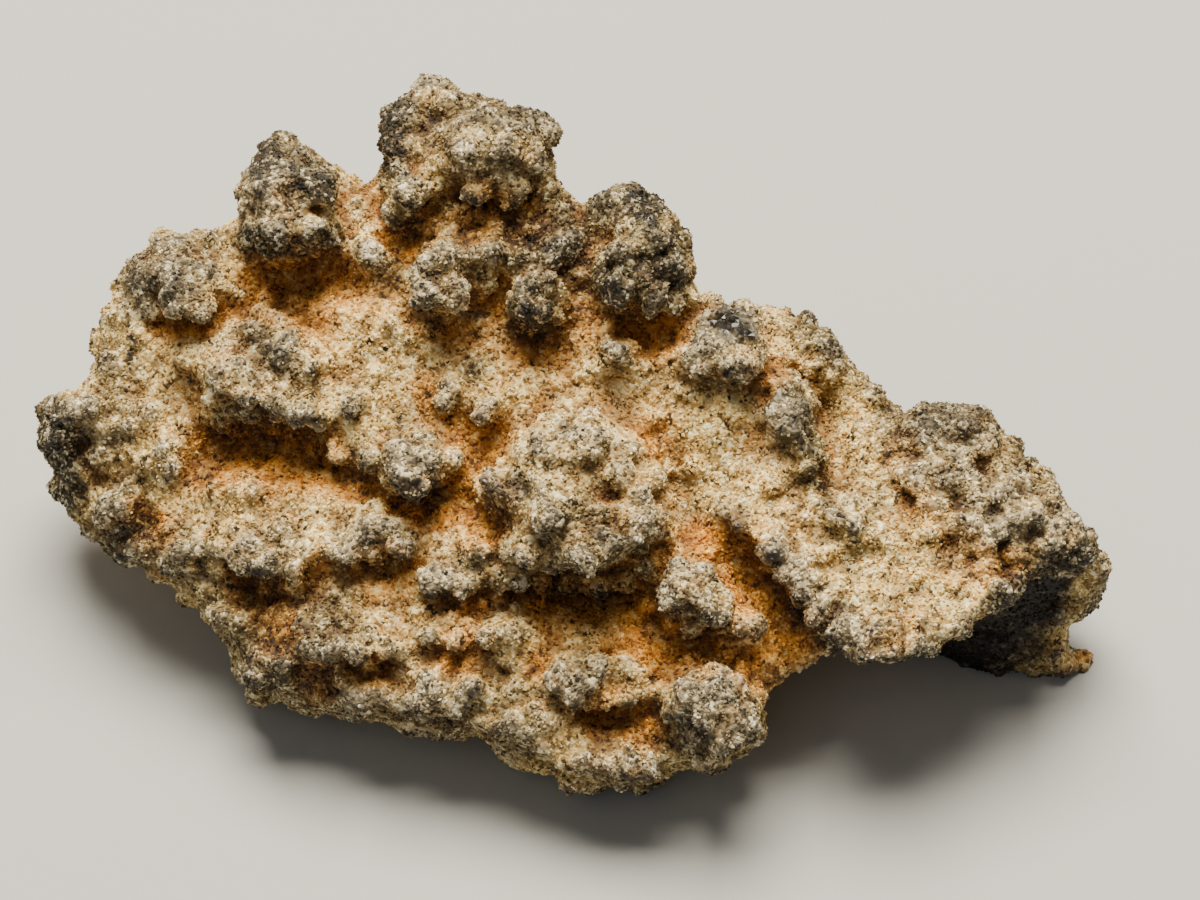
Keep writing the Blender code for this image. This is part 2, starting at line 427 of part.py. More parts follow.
def largest_piece(mesh):
    """The mesh without any crumb that the cuts left loose."""
    bm = bmesh.new()
    bm.from_mesh(mesh)
    bm.verts.ensure_lookup_table()
    unseen, groups = set(bm.verts), []
    while unseen:
        group, edge = set(), [unseen.pop()]
        while edge:
            vert = edge.pop()
            group.add(vert)
            for link in vert.link_edges:
                other = link.other_vert(vert)
                if other in unseen:
                    unseen.discard(other)
                    edge.append(other)
        groups.append(group)
    groups.sort(key=len)
    for crumb in groups[:-1]:
        bmesh.ops.delete(bm, geom=list(crumb), context="VERTS")
    return mesh_from(bm, "whole")


def sand_crust():
    """The fused sand's colour and dullness."""
    material = bpy.data.materials.new("fused_sand")
    material.use_nodes = True
    shader = material.node_tree.nodes["Principled BSDF"]
    shader.inputs["Base Color"].default_value = (0.36, 0.27, 0.17, 1)
    shader.inputs["Roughness"].default_value = 0.85
    return material


def build():
    clear_scene()
    mesh = body_block()
    mesh = add_knobs_and_ledges(mesh)
    mesh = press_hollows(mesh)
    mesh.transform(face_frame())
    mesh = cut_alcove(mesh)
    mesh = with_fin(mesh)
    mesh = roughened(mesh)
    faces = len(mesh.polygons) * 2
    mesh = with_modifiers(mesh, ("TRIANGULATE", {}), ("DECIMATE", {"ratio": TRIANGLES / faces}))
    mesh = largest_piece(flat_foot(mesh))
    places = places_of(mesh)
    middle = (places.min(axis=0) + places.max(axis=0)) / 2
    mesh.transform(Matrix.Translation((-middle[0], -middle[1], 0)))
    mesh.transform(Matrix.Scale(MM, 4))
    mesh.name = "fulgurite"
    mesh.materials.append(sand_crust())
    stone = bpy.data.objects.new("fulgurite", mesh)
    bpy.context.scene.collection.objects.link(stone)
    print("middle", middle, "size", np.ptp(places, axis=0), "faces", len(mesh.polygons))


build()
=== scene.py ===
# %% [markdown]
# # A fulgurite fragment
# Lightning that strikes dry sand melts it for an instant, and the melt freezes as a crust of glass with
# sand stuck all over it. This piece is a broken bit of such a crust: a knobbly face, three horns along its
# top edge, a lobe like a shelf on the right and an open channel under that lobe. It formed as one piece, so
# it stays one piece here, and only the loose-looking sand on it is made separately. Lengths are in
# millimetres unless a name says otherwise, and Blender's own unit is the metre.

# %% Load the solid
import math

import bmesh
import bpy
import numpy as np
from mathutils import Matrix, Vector, noise
from mathutils.bvhtree import BVHTree


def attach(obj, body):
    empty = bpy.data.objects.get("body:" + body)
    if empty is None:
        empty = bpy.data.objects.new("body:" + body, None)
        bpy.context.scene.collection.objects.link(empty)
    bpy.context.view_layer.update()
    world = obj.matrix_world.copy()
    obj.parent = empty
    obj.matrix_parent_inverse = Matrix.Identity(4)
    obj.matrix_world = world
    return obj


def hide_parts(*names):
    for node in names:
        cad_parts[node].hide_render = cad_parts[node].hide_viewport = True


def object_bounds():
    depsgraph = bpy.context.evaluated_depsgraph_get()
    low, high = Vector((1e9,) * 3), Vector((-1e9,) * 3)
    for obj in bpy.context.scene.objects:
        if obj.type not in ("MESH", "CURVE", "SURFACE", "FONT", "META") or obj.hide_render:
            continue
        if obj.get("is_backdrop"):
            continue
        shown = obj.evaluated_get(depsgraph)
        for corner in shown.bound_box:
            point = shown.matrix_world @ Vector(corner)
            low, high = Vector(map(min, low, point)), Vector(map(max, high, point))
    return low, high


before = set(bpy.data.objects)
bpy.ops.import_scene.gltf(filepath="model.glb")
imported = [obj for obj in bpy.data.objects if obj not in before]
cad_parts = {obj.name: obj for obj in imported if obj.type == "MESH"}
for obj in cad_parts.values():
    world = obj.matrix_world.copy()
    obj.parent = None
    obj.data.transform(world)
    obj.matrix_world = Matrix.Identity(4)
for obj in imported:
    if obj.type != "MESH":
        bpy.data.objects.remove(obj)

CAD_BOX = [list(corner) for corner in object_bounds()]
MM = 0.001
print("solid's box in mm:", [[round(x / MM, 1) for x in corner] for corner in CAD_BOX])

# %% [markdown]
# ## Helpers for meshes
# Blender keeps a mesh as points, edges and faces. These helpers move its numbers to and from arrays, where
# a whole skin is worked on at once. `modified` gives what one modifier makes of a mesh, as a plain mesh
# again, and `relaxed` smooths any number kept on the points, their places included.

# %% Read, write and smooth a mesh
def merged_copy(node):
    bm = bmesh.new()
    bm.from_mesh(node.data)
    bmesh.ops.remove_doubles(bm, verts=bm.verts, dist=1e-7)
    mesh = bpy.data.meshes.new("copy")
    bm.to_mesh(mesh)
    bm.free()
    return mesh


def modified(mesh, kind, **settings):
    """What one modifier makes of a mesh."""
    body = bpy.data.objects.new("work", mesh)
    bpy.context.scene.collection.objects.link(body)
    modifier = body.modifiers.new("work", kind)
    for name, value in settings.items():
        setattr(modifier, name, value)
    graph = bpy.context.evaluated_depsgraph_get()
    result = bpy.data.meshes.new_from_object(body.evaluated_get(graph))
    bpy.data.objects.remove(body)
    return result


def melted(mesh, cell):
    """An even, closed net of small faces round everything in a mesh."""
    return modified(mesh, "REMESH", mode="VOXEL", voxel_size=cell * MM)


def triangles_in(mesh):
    return sum(len(face.vertices) - 2 for face in mesh.polygons)


def points_of(mesh):
    flat = np.empty(len(mesh.vertices) * 3, np.float32)
    mesh.vertices.foreach_get("co", flat)
    return flat.reshape(-1, 3).astype(float) / MM


def set_points(mesh, points):
    mesh.vertices.foreach_set("co", (points * MM).astype(np.float32).ravel())
    mesh.update()


def normals_of(mesh):
    flat = np.empty(len(mesh.vertices) * 3, np.float32)
    mesh.vertices.foreach_get("normal", flat)
    return flat.reshape(-1, 3).astype(float)


def links_of(mesh):
    flat = np.empty(len(mesh.edges) * 2, np.int32)
    mesh.edges.foreach_get("vertices", flat)
    return flat.reshape(-1, 2)


def store(mesh, name, values):
    """Keeps a number for each point on the mesh, where modifiers and materials can find it."""
    kept = mesh.attributes.new(name, "FLOAT", "POINT")
    kept.data.foreach_set("value", values.astype(np.float32))


def stored(mesh, name):
    values = np.empty(len(mesh.vertices), np.float32)
    mesh.attributes[name].data.foreach_get("value", values)
    return values.astype(float)


def relaxed(values, links, rounds):
    """Each value moves halfway to the mean of its neighbours, so many times over."""
    values = values.copy()
    columns = values.reshape(len(values), -1)
    near = np.bincount(links.ravel(), minlength=len(columns))
    for _ in range(rounds):
        for k in range(columns.shape[1]):
            total = np.bincount(links[:, 0], columns[links[:, 1], k], len(columns))
            total += np.bincount(links[:, 1], columns[links[:, 0], k], len(columns))
            columns[:, k] = 0.5 * columns[:, k] + 0.5 * total / near
    return values


print("mesh helpers ready")

# %% [markdown]
# ## The skin
# The solid is made of a few thousand flat triangles, which is right for physics and too coarse to look at.
# A copy is merged, melted into an even net of small squares with a voxel Remesh, and relaxed until the flat
# triangles no longer show. Subdivision would also give small faces, but it would keep the facets' edges.
# The same Remesh is used again later, because it melts separate balls onto the body as the real melt did.

# %% Make the skin
FIRST_CELL = 0.5
RELAX_ROUNDS = 5

skin = melted(merged_copy(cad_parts["fulgurite"]), FIRST_CELL)
set_points(skin, relaxed(points_of(skin), links_of(skin), RELAX_ROUNDS))
print("first skin:", len(skin.vertices), "points")

# %% [markdown]
# ## Places on the face
# The rough face leans back, so it is easiest to work on it as on a drawing board: millimetres across, up
# the slope, and out of the face. These three directions turn places on the table into places on the face.
# The crusty lumps are listed here as soft round patches (across, up, radius, strength), because both their
# rough shape and their grey colour follow from them. A patch is full in its heart and gone a third past its
# radius.

# %% Set up the face's own directions
FACE_SLOPE = math.radians(40.0)
FACE_CENTRE = np.array((2.251, -2.611, 19.4))
FACE_AXES = np.array((
    (1.0, 0.0, 0.0),
    (0.0, math.cos(FACE_SLOPE), math.sin(FACE_SLOPE)),
    (0.0, -math.sin(FACE_SLOPE), math.cos(FACE_SLOPE)),
))
FRONT_FACING = (-0.5, 0.1)
PATCH_HEART = 1.35
PATCH_FADE = 0.75
LUMPS = [
    (-23.0, 18.6, 3.2, 0.8), (-21.0, 15.8, 2.0, 0.5), (-32.0, 13.6, 2.4, 0.9), (-33.6, 10.9, 1.6, 0.9),
    (-29.4, 12.6, 2.0, 0.5), (-7.6, 22.4, 4.6, 0.6), (-12.4, 24.8, 2.6, 0.7), (-13.6, 18.6, 1.6, 0.3),
    (-10.8, 12.8, 2.4, 0.7), (-4.6, 12.2, 1.6, 0.6), (-2.8, 14.4, 2.0, 0.7), (1.4, 17.4, 2.4, 0.6),
    (3.2, 13.0, 3.0, 0.5), (1.3, 7.2, 1.2, 0.8), (8.4, 6.4, 2.8, 0.5), (8.6, 9.0, 2.0, 1.0),
    (13.4, 2.6, 2.0, 0.8), (-24.0, 7.2, 3.4, 0.8), (-24.0, 4.2, 3.4, 0.6), (-17.6, 2.8, 1.2, 0.7),
    (-37.4, 1.4, 3.0, 0.6), (-34.8, -3.6, 1.8, 0.6), (-13.1, -0.8, 2.2, 0.9), (-11.2, 3.9, 1.0, 0.7),
    (-8.4, 3.0, 1.0, 0.7), (-1.4, -0.8, 4.6, 0.5), (-2.2, -5.6, 4.4, 0.6), (2.8, -5.0, 2.2, 0.6),
    (-7.0, -2.6, 1.6, 0.8), (9.9, -5.0, 1.0, 1.0), (14.4, -4.6, 0.8, 0.9), (-8.2, -6.8, 1.0, 0.8),
    (-23.6, -7.0, 2.6, 0.7), (-17.4, -6.2, 2.2, 0.7), (-13.6, -5.8, 1.6, 0.6), (-9.4, -9.4, 3.0, 0.7),
    (6.2, -10.0, 2.6, 0.8), (9.4, -12.0, 1.6, 0.6), (8.0, -18.4, 3.6, 0.8), (1.4, -22.4, 3.0, 0.5),
    (-12.0, -17.4, 4.0, 0.6), (-5.4, -18.6, 3.6, 0.5), (-17.0, -17.2, 2.4, 0.6), (-23.4, -15.8, 2.6, 0.5),
    (-29.4, -8.0, 2.4, 0.5), (-19.4, -13.0, 2.4, 0.5), (-1.6, -16.0, 2.4, 0.6), (18.2, -4.6, 2.4, 0.7),
    (24.6, -0.6, 4.2, 0.8), (28.4, -4.6, 4.2, 0.8), (33.0, -5.6, 2.6, 0.8), (19.6, -7.6, 2.6, 0.2),
    (22.8, -13.8, 1.6, 0.5), (12.4, -7.2, 1.4, 1.0), (13.8, -9.0, 1.8, 0.9), (15.6, -11.0, 1.8, 0.9),
    (17.6, -12.6, 1.8, 0.9), (20.0, -13.6, 1.8, 0.7), (16.4, -8.6, 2.6, 0.35), (20.6, -11.0, 2.4, 0.2),
    (13.6, 6.6, 2.0, 0.3), (17.4, 4.6, 2.6, 0.3), (-34.4, 2.6, 2.4, 0.5), (-16.6, 17.0, 1.4, 0.3),
]


def on_face(points):
    return (points - FACE_CENTRE) @ FACE_AXES.T


def off_face(places):
    return places @ FACE_AXES + FACE_CENTRE


def step(values, low, high):
    """Goes from 0 at the low value to 1 at the high one, with soft ends."""
    share = np.clip((values - low) / (high - low), 0.0, 1.0)
    return share * share * (3.0 - 2.0 * share)


def in_front(normals):
    """1 where the surface looks out of the face, 0 on the back."""
    return step((normals @ FACE_AXES.T)[:, 2], *FRONT_FACING)


def laid(places, where, patches):
    """How much of a set of soft round patches lies on each point, kept to where it may lie."""
    amount = np.zeros(len(places))
    for across, up, radius, strength in patches:
        far = np.hypot(places[:, 0] - across, places[:, 1] - up) / radius
        amount = np.maximum(amount, strength * np.clip(PATCH_HEART - PATCH_FADE * far * far, 0.0, 1.0))
    return amount * where


places = on_face(points_of(skin))
print("face runs", places[:, 0].min().round(1), "to", places[:, 0].max().round(1), "mm across")

# %% [markdown]
# ## Small knobs and pits
# Drops of melt froze as knobs with a dark underside, and bubbles broke open as pits. The big ones are in
# the solid. These are the small ones, listed one by one: across, up, radius, and height out of the face
# (a pit has a minus). A pit is pushed in. A knob is a ball with smaller balls round its sides, set a little
# low so that it shades what is below it, and thousands of small nubs lie over the rest. Pushing the skin
# out would make smooth bumps; balls that melt together leave the deep creases and dark undersides that
# fused sand has.

# %% Place the knobs and the pits
KNOBS_AND_PITS = [
    # along the top edge
    (-32.6, 13.1, 1.3, 0.8), (-30.2, 14.6, 1.2, 0.6), (-27.6, 15.2, 1.3, 0.6), (-23.4, 21.4, 1.2, 0.7),
    (-21.6, 19.8, 1.0, 0.6), (-24.0, 18.2, 1.0, 0.6), (-11.0, 25.4, 1.2, 0.6), (-8.2, 23.6, 1.3, 0.6),
    (-5.4, 22.6, 1.2, 0.6), (-9.8, 24.4, 0.5, -0.7), (-12.6, 24.8, 0.5, -0.7), (0.6, 17.6, 1.0, 0.5),
    (2.6, 17.2, 0.9, 0.5), (4.4, 15.6, 1.0, 0.5), (3.0, 12.6, 1.1, 0.5), (0.8, 13.2, 1.0, -0.5),
    # the upper face
    (-31.9, 6.4, 0.6, -0.8), (-33.4, 8.4, 1.1, 0.5), (-30.0, 6.8, 1.0, 0.4), (-26.4, 8.2, 0.9, 0.5),
    (-24.6, 8.8, 0.8, 0.7), (-22.8, 7.0, 0.9, 0.7), (-20.6, 6.2, 0.8, 0.7), (-23.6, 5.0, 1.0, 0.5),
    (-17.7, 3.3, 0.8, 0.8), (-16.2, 5.6, 0.8, 0.4), (-13.8, 8.0, 0.8, 0.3), (-8.8, 9.3, 0.5, 0.5),
    (-4.4, 5.4, 0.9, 0.4), (-1.0, 5.6, 0.8, 0.3), (1.3, 7.2, 0.9, 0.7), (4.6, 6.8, 0.6, 0.5),
    (3.5, 6.3, 0.6, 0.5), (7.0, 6.4, 1.1, 0.5), (9.4, 6.2, 1.0, 0.5), (6.2, 4.2, 0.9, 0.4),
    # the middle
    (-11.2, 3.9, 0.8, 0.8), (-8.4, 2.9, 0.8, 0.8), (-12.6, -0.6, 0.9, 0.5), (-14.0, -1.4, 0.9, 0.5),
    (-6.8, -2.6, 1.0, 0.7), (-8.2, -6.8, 0.9, 0.7), (-2.5, 1.7, 0.5, -0.9), (-4.2, 0.6, 1.1, 0.5),
    (-0.4, 1.0, 1.1, 0.5), (2.0, 0.0, 1.0, 0.5), (-4.6, -2.0, 1.0, 0.5), (-1.5, -3.3, 0.6, -0.9),
    (-0.9, -1.3, 0.5, -0.7), (0.8, -3.3, 0.5, -0.7), (-3.4, -4.4, 1.1, 0.7), (-5.4, -7.0, 1.0, 0.7),
    (-1.0, -7.4, 1.0, 0.7), (0.9, -6.2, 0.8, 0.7), (2.4, -5.8, 0.8, 0.7), (3.9, -5.4, 0.8, 0.6),
    (4.0, 1.4, 0.7, -0.6), (9.5, 1.8, 0.7, -0.6), (12.7, 4.0, 0.5, 0.5), (13.7, 2.1, 0.5, 0.5),
    (14.8, -0.1, 0.5, 0.5), (9.9, -5.1, 0.7, 0.7), (14.4, -4.7, 0.6, 0.5), (6.8, -1.0, 0.9, 0.3),
    # the lower left
    (-38.4, 2.8, 1.0, 0.5), (-36.6, 3.2, 0.9, 0.5), (-35.0, 2.2, 0.9, 0.4), (-33.0, 3.4, 0.9, 0.4),
    (-35.6, -3.6, 0.8, 0.5), (-37.8, -1.6, 0.9, 0.5), (-29.0, -8.0, 0.6, -0.8), (-30.6, -7.2, 0.9, 0.5),
    (-27.4, -6.6, 0.9, 0.5), (-25.8, -7.0, 0.9, 0.6), (-23.4, -7.6, 0.9, 0.6), (-18.8, -6.9, 0.8, 0.6),
    (-16.6, -6.0, 0.8, 0.6), (-14.6, -5.6, 0.8, 0.5), (-21.2, -12.4, 0.9, 0.7), (-17.7, -12.1, 0.6, -0.7),
    (-16.4, -11.1, 0.6, -0.7), (-20.2, -14.2, 0.8, 0.6), (-18.2, -13.8, 0.8, 0.6), (-15.8, -13.2, 0.8, 0.5),
    (-24.8, -15.6, 0.9, 0.5), (-22.6, -16.2, 0.9, 0.5), (-17.0, -17.5, 1.0, 0.6), (-14.6, -17.8, 0.9, 0.5),
    (-27.6, -11.6, 0.9, 0.5), (-12.8, -11.6, 0.9, 0.4), (-9.0, -12.4, 0.9, 0.4), (-6.2, -11.4, 0.8, 0.4),
    # the foot
    (-12.0, -9.0, 0.9, 0.6), (-9.8, -9.6, 0.9, 0.6), (-7.2, -9.2, 0.8, 0.6), (-2.9, -16.2, 0.9, 0.7),
    (-6.0, -16.8, 0.9, 0.5), (-10.0, -17.2, 0.9, 0.5), (-7.4, -19.2, 0.9, 0.5), (-3.8, -19.2, 0.9, 0.5),
    (-0.8, -21.8, 0.9, 0.6), (1.4, -22.4, 0.9, 0.6), (3.2, -22.6, 0.9, 0.6), (0.6, -14.7, 0.6, -0.8),
    (2.8, -15.6, 0.9, 0.4), (6.2, -16.6, 1.0, 0.6), (8.4, -16.4, 1.0, 0.6), (7.2, -18.6, 1.0, 0.6),
    (9.6, -18.8, 1.0, 0.5), (8.4, -20.8, 1.0, 0.5), (5.2, -19.0, 0.6, -0.8), (5.4, -9.6, 0.9, 0.6),
    (7.4, -10.8, 0.9, 0.5), (10.0, -12.3, 0.9, 0.6), (8.6, -13.6, 0.7, 0.4),
    # the lobe
    (17.6, -1.1, 0.6, -0.7), (27.2, -1.5, 0.7, -0.8), (30.7, -2.5, 0.6, -0.7), (28.0, -4.3, 0.6, -0.8),
    (22.3, -3.9, 0.6, -0.6), (25.0, -6.8, 0.7, -0.7), (24.0, -8.4, 0.6, -0.6), (22.9, -9.8, 0.5, -0.6),
    (29.1, -9.0, 0.6, -0.7), (25.6, -10.4, 0.6, -0.6), (18.0, -5.0, 1.2, 0.5), (23.4, 1.6, 1.0, 0.5),
    (26.4, 1.6, 1.0, 0.5), (25.0, -0.4, 1.0, 0.4), (29.6, -5.0, 1.0, 0.5), (32.2, -5.6, 1.0, 0.5),
    (34.0, -6.2, 0.8, 0.4), (21.6, -1.2, 1.0, 0.4), (19.4, -8.6, 1.2, 0.3), (26.4, -3.0, 0.9, 0.4),
    # the lobe's left edge
    (12.3, -6.8, 1.2, 1.0), (13.2, -8.2, 1.1, 0.8), (14.4, -9.6, 1.1, 0.8), (15.6, -11.0, 1.1, 0.8),
    (17.0, -12.4, 1.1, 0.8), (18.6, -13.5, 1.1, 0.7), (20.4, -14.0, 1.0, 0.6), (22.2, -13.6, 1.0, 0.5),
    (15.0, -7.4, 1.2, 0.5), (17.0, -9.6, 1.2, 0.5), (18.8, -11.4, 1.1, 0.4),
    # larger knobs on the horns
    (-23.0, 21.6, 1.5, 1.0), (-20.4, 19.6, 1.5, 1.1), (-23.8, 19.2, 1.3, 0.9), (-22.9, 16.1, 1.3, 1.0),
    (-20.7, 16.2, 1.3, 0.9), (-24.4, 16.2, 1.0, 0.8), (-24.4, 17.8, 1.1, -0.8), (-20.8, 17.6, 1.1, -0.8),
    (-22.5, 17.8, 0.9, -0.6), (-17.4, 17.6, 1.0, 0.7), (-16.6, 16.2, 0.8, 0.6), (-12.8, 25.2, 1.4, 0.9),
    (-10.6, 25.2, 1.2, 0.8), (-13.8, 21.6, 1.6, 1.1), (-13.6, 18.8, 1.5, 0.9), (-14.6, 17.2, 1.3, 0.8),
    (-9.6, 21.6, 1.6, 0.9), (-7.0, 22.4, 1.8, 0.9), (-5.0, 21.2, 1.5, 0.8), (-8.8, 18.9, 1.3, 0.8),
    (-6.2, 18.7, 1.3, 0.8), (-4.0, 18.4, 1.3, 0.9), (-3.2, 16.4, 1.2, 0.8), (-12.4, 11.8, 1.5, 1.0),
    (-10.2, 11.4, 1.4, 1.0), (-8.4, 12.6, 1.2, 0.7), (-4.6, 10.4, 1.3, 1.0), (-4.0, 12.2, 1.2, 0.9),
    (-2.4, 14.8, 1.3, 0.8), (0.6, 18.0, 1.2, 0.8), (2.2, 17.4, 1.2, 0.8), (3.4, 15.6, 1.4, 0.9),
    (1.6, 14.2, 1.3, 0.8), (4.8, 13.4, 1.4, 0.9), (1.2, 11.8, 1.4, 0.9), (3.8, 11.2, 1.3, 0.9),
    (5.2, 10.8, 1.1, 0.8), (8.6, 9.4, 1.2, 0.8), (10.0, 8.2, 1.2, 0.7), (7.6, 7.6, 1.4, 0.7),
    (10.2, 6.2, 1.2, 0.8), (-30.6, 11.1, 1.5, 1.0), (-28.7, 10.8, 1.4, 1.0), (-30.4, 13.4, 1.0, -0.6),
    (-28.6, 13.0, 1.0, -0.6), (-33.0, 12.2, 1.2, 0.8), (-39.0, 1.6, 1.5, 0.9), (-38.2, -0.6, 1.3, 0.8),
    (-37.0, 3.4, 1.2, 0.8), (-27.0, 5.6, 1.3, 0.9), (-25.2, 4.6, 1.3, 0.9), (-23.0, 4.0, 1.3, 0.9),
    (-20.8, 3.0, 1.2, 0.9), (-18.6, 0.2, 1.1, 0.9), (-16.6, -0.2, 1.1, 0.9), (-14.2, 0.0, 1.4, 0.9),
    (-12.2, -0.4, 1.4, 0.9), (-13.2, -2.0, 1.3, 0.9), (-25.4, 15.3, 0.8, 0.5), (-24.0, 14.7, 0.8, 0.5),
    (-22.4, 14.5, 0.9, 0.5), (-20.8, 14.8, 0.8, 0.5), (-19.3, 15.4, 0.8, 0.5), (-24.2, 19.8, 1.0, 0.7),
    (-20.2, 19.2, 1.4, 1.1), (-23.4, 21.0, 1.0, 0.8), (-22.6, 20.4, 1.0, 0.8), (-1.0, 16.0, 0.9, 0.6),
    (-7.4, 14.8, 1.2, 0.7), (-9.2, 14.2, 1.1, 0.7),
    # the slope under the middle horn
    (-9.8, 16.8, 1.9, 1.4), (-7.4, 16.6, 2.0, 1.5), (-5.2, 16.8, 1.8, 1.4), (-3.2, 16.8, 1.4, 1.0),
    (-11.6, 16.4, 1.5, 1.0), (-10.6, 14.8, 1.5, 0.8), (-8.2, 14.2, 1.6, 0.8), (-6.0, 14.0, 1.5, 0.8),
    (-3.6, 14.4, 1.3, 0.8), (-2.0, 13.0, 1.1, 0.8), (-3.0, 11.2, 1.1, 0.8), (-5.2, 11.6, 1.2, 0.8),
    # down the right shoulder
    (12.4, 5.0, 0.9, 0.7), (12.9, 3.4, 1.0, 0.9), (13.6, 2.0, 1.0, 0.9), (14.2, 0.6, 0.9, 0.8),
    (14.8, -0.9, 0.9, 0.8), (15.2, -2.4, 0.8, 0.7), (15.5, -3.8, 0.8, 0.6), (11.4, 6.6, 0.9, 0.6),
    # small knobs on the lobe
    (25.0, -1.8, 0.7, 0.8), (23.6, 0.4, 0.8, 0.6), (27.6, 0.6, 0.8, 0.6), (29.2, -2.0, 0.8, 0.6),
    (26.0, -4.8, 0.8, 0.6), (23.4, -5.6, 0.8, 0.6), (30.8, -4.4, 0.8, 0.7), (27.4, -6.6, 0.9, 0.6),
    (31.6, -6.8, 0.8, 0.5), (22.2, -2.2, 0.8, 0.6), (20.2, 0.4, 0.8, 0.6), (29.8, -7.4, 0.8, 0.5),
    (24.8, 2.4, 0.8, 0.7), (22.4, 2.2, 0.8, 0.6), (27.8, 1.0, 0.8, 0.5), (33.6, -4.6, 0.8, 0.5),
    (26.3, -6.0, 0.5, -0.7), (30.6, -5.5, 0.6, -0.7), (29.1, -8.2, 0.5, -0.6), (25.7, 0.9, 0.5, -0.6),
    (23.7, -1.4, 0.5, -0.6), (21.4, -2.6, 0.5, -0.6), (30.0, -0.9, 0.5, -0.6), (32.1, -4.2, 0.5, -0.6),
    # along the rims of the ledges
    (-27.8, 4.0, 0.8, 0.6), (-26.4, 3.2, 0.8, 0.7), (-24.8, 2.9, 0.8, 0.8), (-23.2, 2.9, 0.8, 0.8),
    (-21.6, 2.7, 0.8, 0.8), (-20.0, 2.3, 0.8, 0.7), (-25.6, -7.6, 1.1, 0.9), (-23.8, -8.0, 1.1, 0.9),
    (-21.9, -8.2, 1.1, 0.8), (-17.8, -7.0, 1.0, 0.9), (-16.0, -6.9, 1.0, 0.9), (-14.2, -6.6, 1.0, 0.8),
    (-21.0, -13.4, 1.0, 0.8), (-19.2, -13.9, 1.0, 0.9), (-17.2, -14.0, 1.0, 0.9), (-15.2, -13.6, 0.9, 0.8),
    (-12.2, -12.8, 0.9, 0.8), (-10.0, -13.2, 1.0, 0.8), (-8.0, -13.0, 0.9, 0.8), (-6.0, -8.6, 1.1, 0.9),
    (-4.2, -8.9, 1.2, 0.9), (-2.2, -9.1, 1.2, 1.0), (-0.2, -9.1, 1.2, 1.0), (1.8, -8.7, 1.2, 0.9),
    (3.4, -8.0, 1.1, 0.8), (-1.8, -17.0, 0.9, 0.8), (0.0, -17.3, 0.9, 0.8), (1.8, -17.2, 0.9, 0.8),
    (-10.4, -17.9, 1.0, 0.8), (-12.6, -17.6, 1.0, 0.8), (-24.6, -14.4, 0.9, 0.7), (-22.6, -14.8, 0.9, 0.7),
    (-28.6, -9.9, 0.8, 0.7), (5.0, -10.4, 0.9, 0.7), (6.6, -12.2, 1.0, 0.8), (-33.8, -2.6, 1.0, 0.8),
    (-36.0, -4.6, 1.0, 0.8), (-31.8, -6.2, 0.9, 0.7),
]
print(len(KNOBS_AND_PITS), "knobs and pits placed by hand")

# %% Sink the pits and shape the knobs
PIT_REACH = 1.5
FULL_PIT_FACING = 0.4
KNOB_STRENGTH = 1.4
KNOB_SAG = 0.35
KNOB_BALL = 0.8
SIDE_BALLS = 7
SIDE_BALL_REACH = 0.72
SIDE_BALL_FLATNESS = 0.7
SIDE_BALL_SIZES = (0.26, 0.46)
CLEAR_OF_THE_FACE = 80.0


def sink_pits(places, facing):
    """Pushes each pit into the face."""
    front = np.clip(facing / FULL_PIT_FACING, 0.0, 1.0)
    for across, up, radius, height in KNOBS_AND_PITS:
        if height < 0.0:
            far = np.hypot(places[:, 0] - across, places[:, 1] - up) / (PIT_REACH * radius)
            places[:, 2] += height * np.clip(1.0 - far * far, 0.0, 1.0) ** 2 * front
    return places


def knob_balls(places, faces, random):
    """A ball for each knob, sagging a little, with smaller ones round its sides: centres and radii."""
    tree = BVHTree.FromPolygons([Vector(place) for place in places], faces)
    balls = []
    for across, up, radius, height in KNOBS_AND_PITS:
        if height < 0.0:
            continue
        ground = tree.ray_cast(Vector((across, up, CLEAR_OF_THE_FACE)), Vector((0.0, 0.0, -1.0)))[0].z
        rise = KNOB_STRENGTH * height
        middle = np.array((across, up - KNOB_SAG * rise, ground + rise - KNOB_BALL * radius))
        balls.append((*middle, KNOB_BALL * radius))
        for _ in range(SIDE_BALLS):
            way = random.normal(size=3)
            way[2] = abs(way[2]) * SIDE_BALL_FLATNESS
            way /= np.linalg.norm(way)
            side = middle + SIDE_BALL_REACH * radius * way
            balls.append((*side, radius * random.uniform(*SIDE_BALL_SIZES)))
    return balls


random = np.random.default_rng(11)
facing = (normals_of(skin) @ FACE_AXES.T)[:, 2]
set_points(skin, off_face(sink_pits(places, facing)))
faces = [tuple(face.vertices) for face in skin.polygons]
knobs = np.array(knob_balls(on_face(points_of(skin)), faces, random))
knobs[:, :3] = off_face(knobs[:, :3])
print(len(knobs), "balls make the knobs")

# %% Scatter the nubs and melt it all together
# each as (number of nubs, smallest radius, largest radius, least and most depth as shares of the radius,
# weight of the places away from the lumps)
LUMP_NUBS = (2300, 0.50, 1.10, -0.15, 0.4, 0.02)
EVEN_NUBS = (3000, 0.34, 0.60, 0.1, 0.7, 0.25)
SKIN_CELL = 0.30
PROUD_ROUNDS = 90
PATCHY_WIDTH = 6.0
BACK_RUGGEDNESS = 0.45


def ruggedness(points, normals, links):
    """How lumpy each place is: 1 on the lumps and proud rims, 0 on the smooth slopes of loose sand."""
    proud = np.einsum("ij,ij->i", points - relaxed(points, links, PROUD_ROUNDS), normals)
    front = in_front(normals)
    patchy = np.array([noise.noise(Vector(point / PATCHY_WIDTH)) for point in points])
    lumpy = np.maximum(laid(on_face(points), front, LUMPS), step(proud + 0.5 * patchy, 0.0, 0.8))
    return np.maximum(lumpy, BACK_RUGGEDNESS * (1.0 - front))


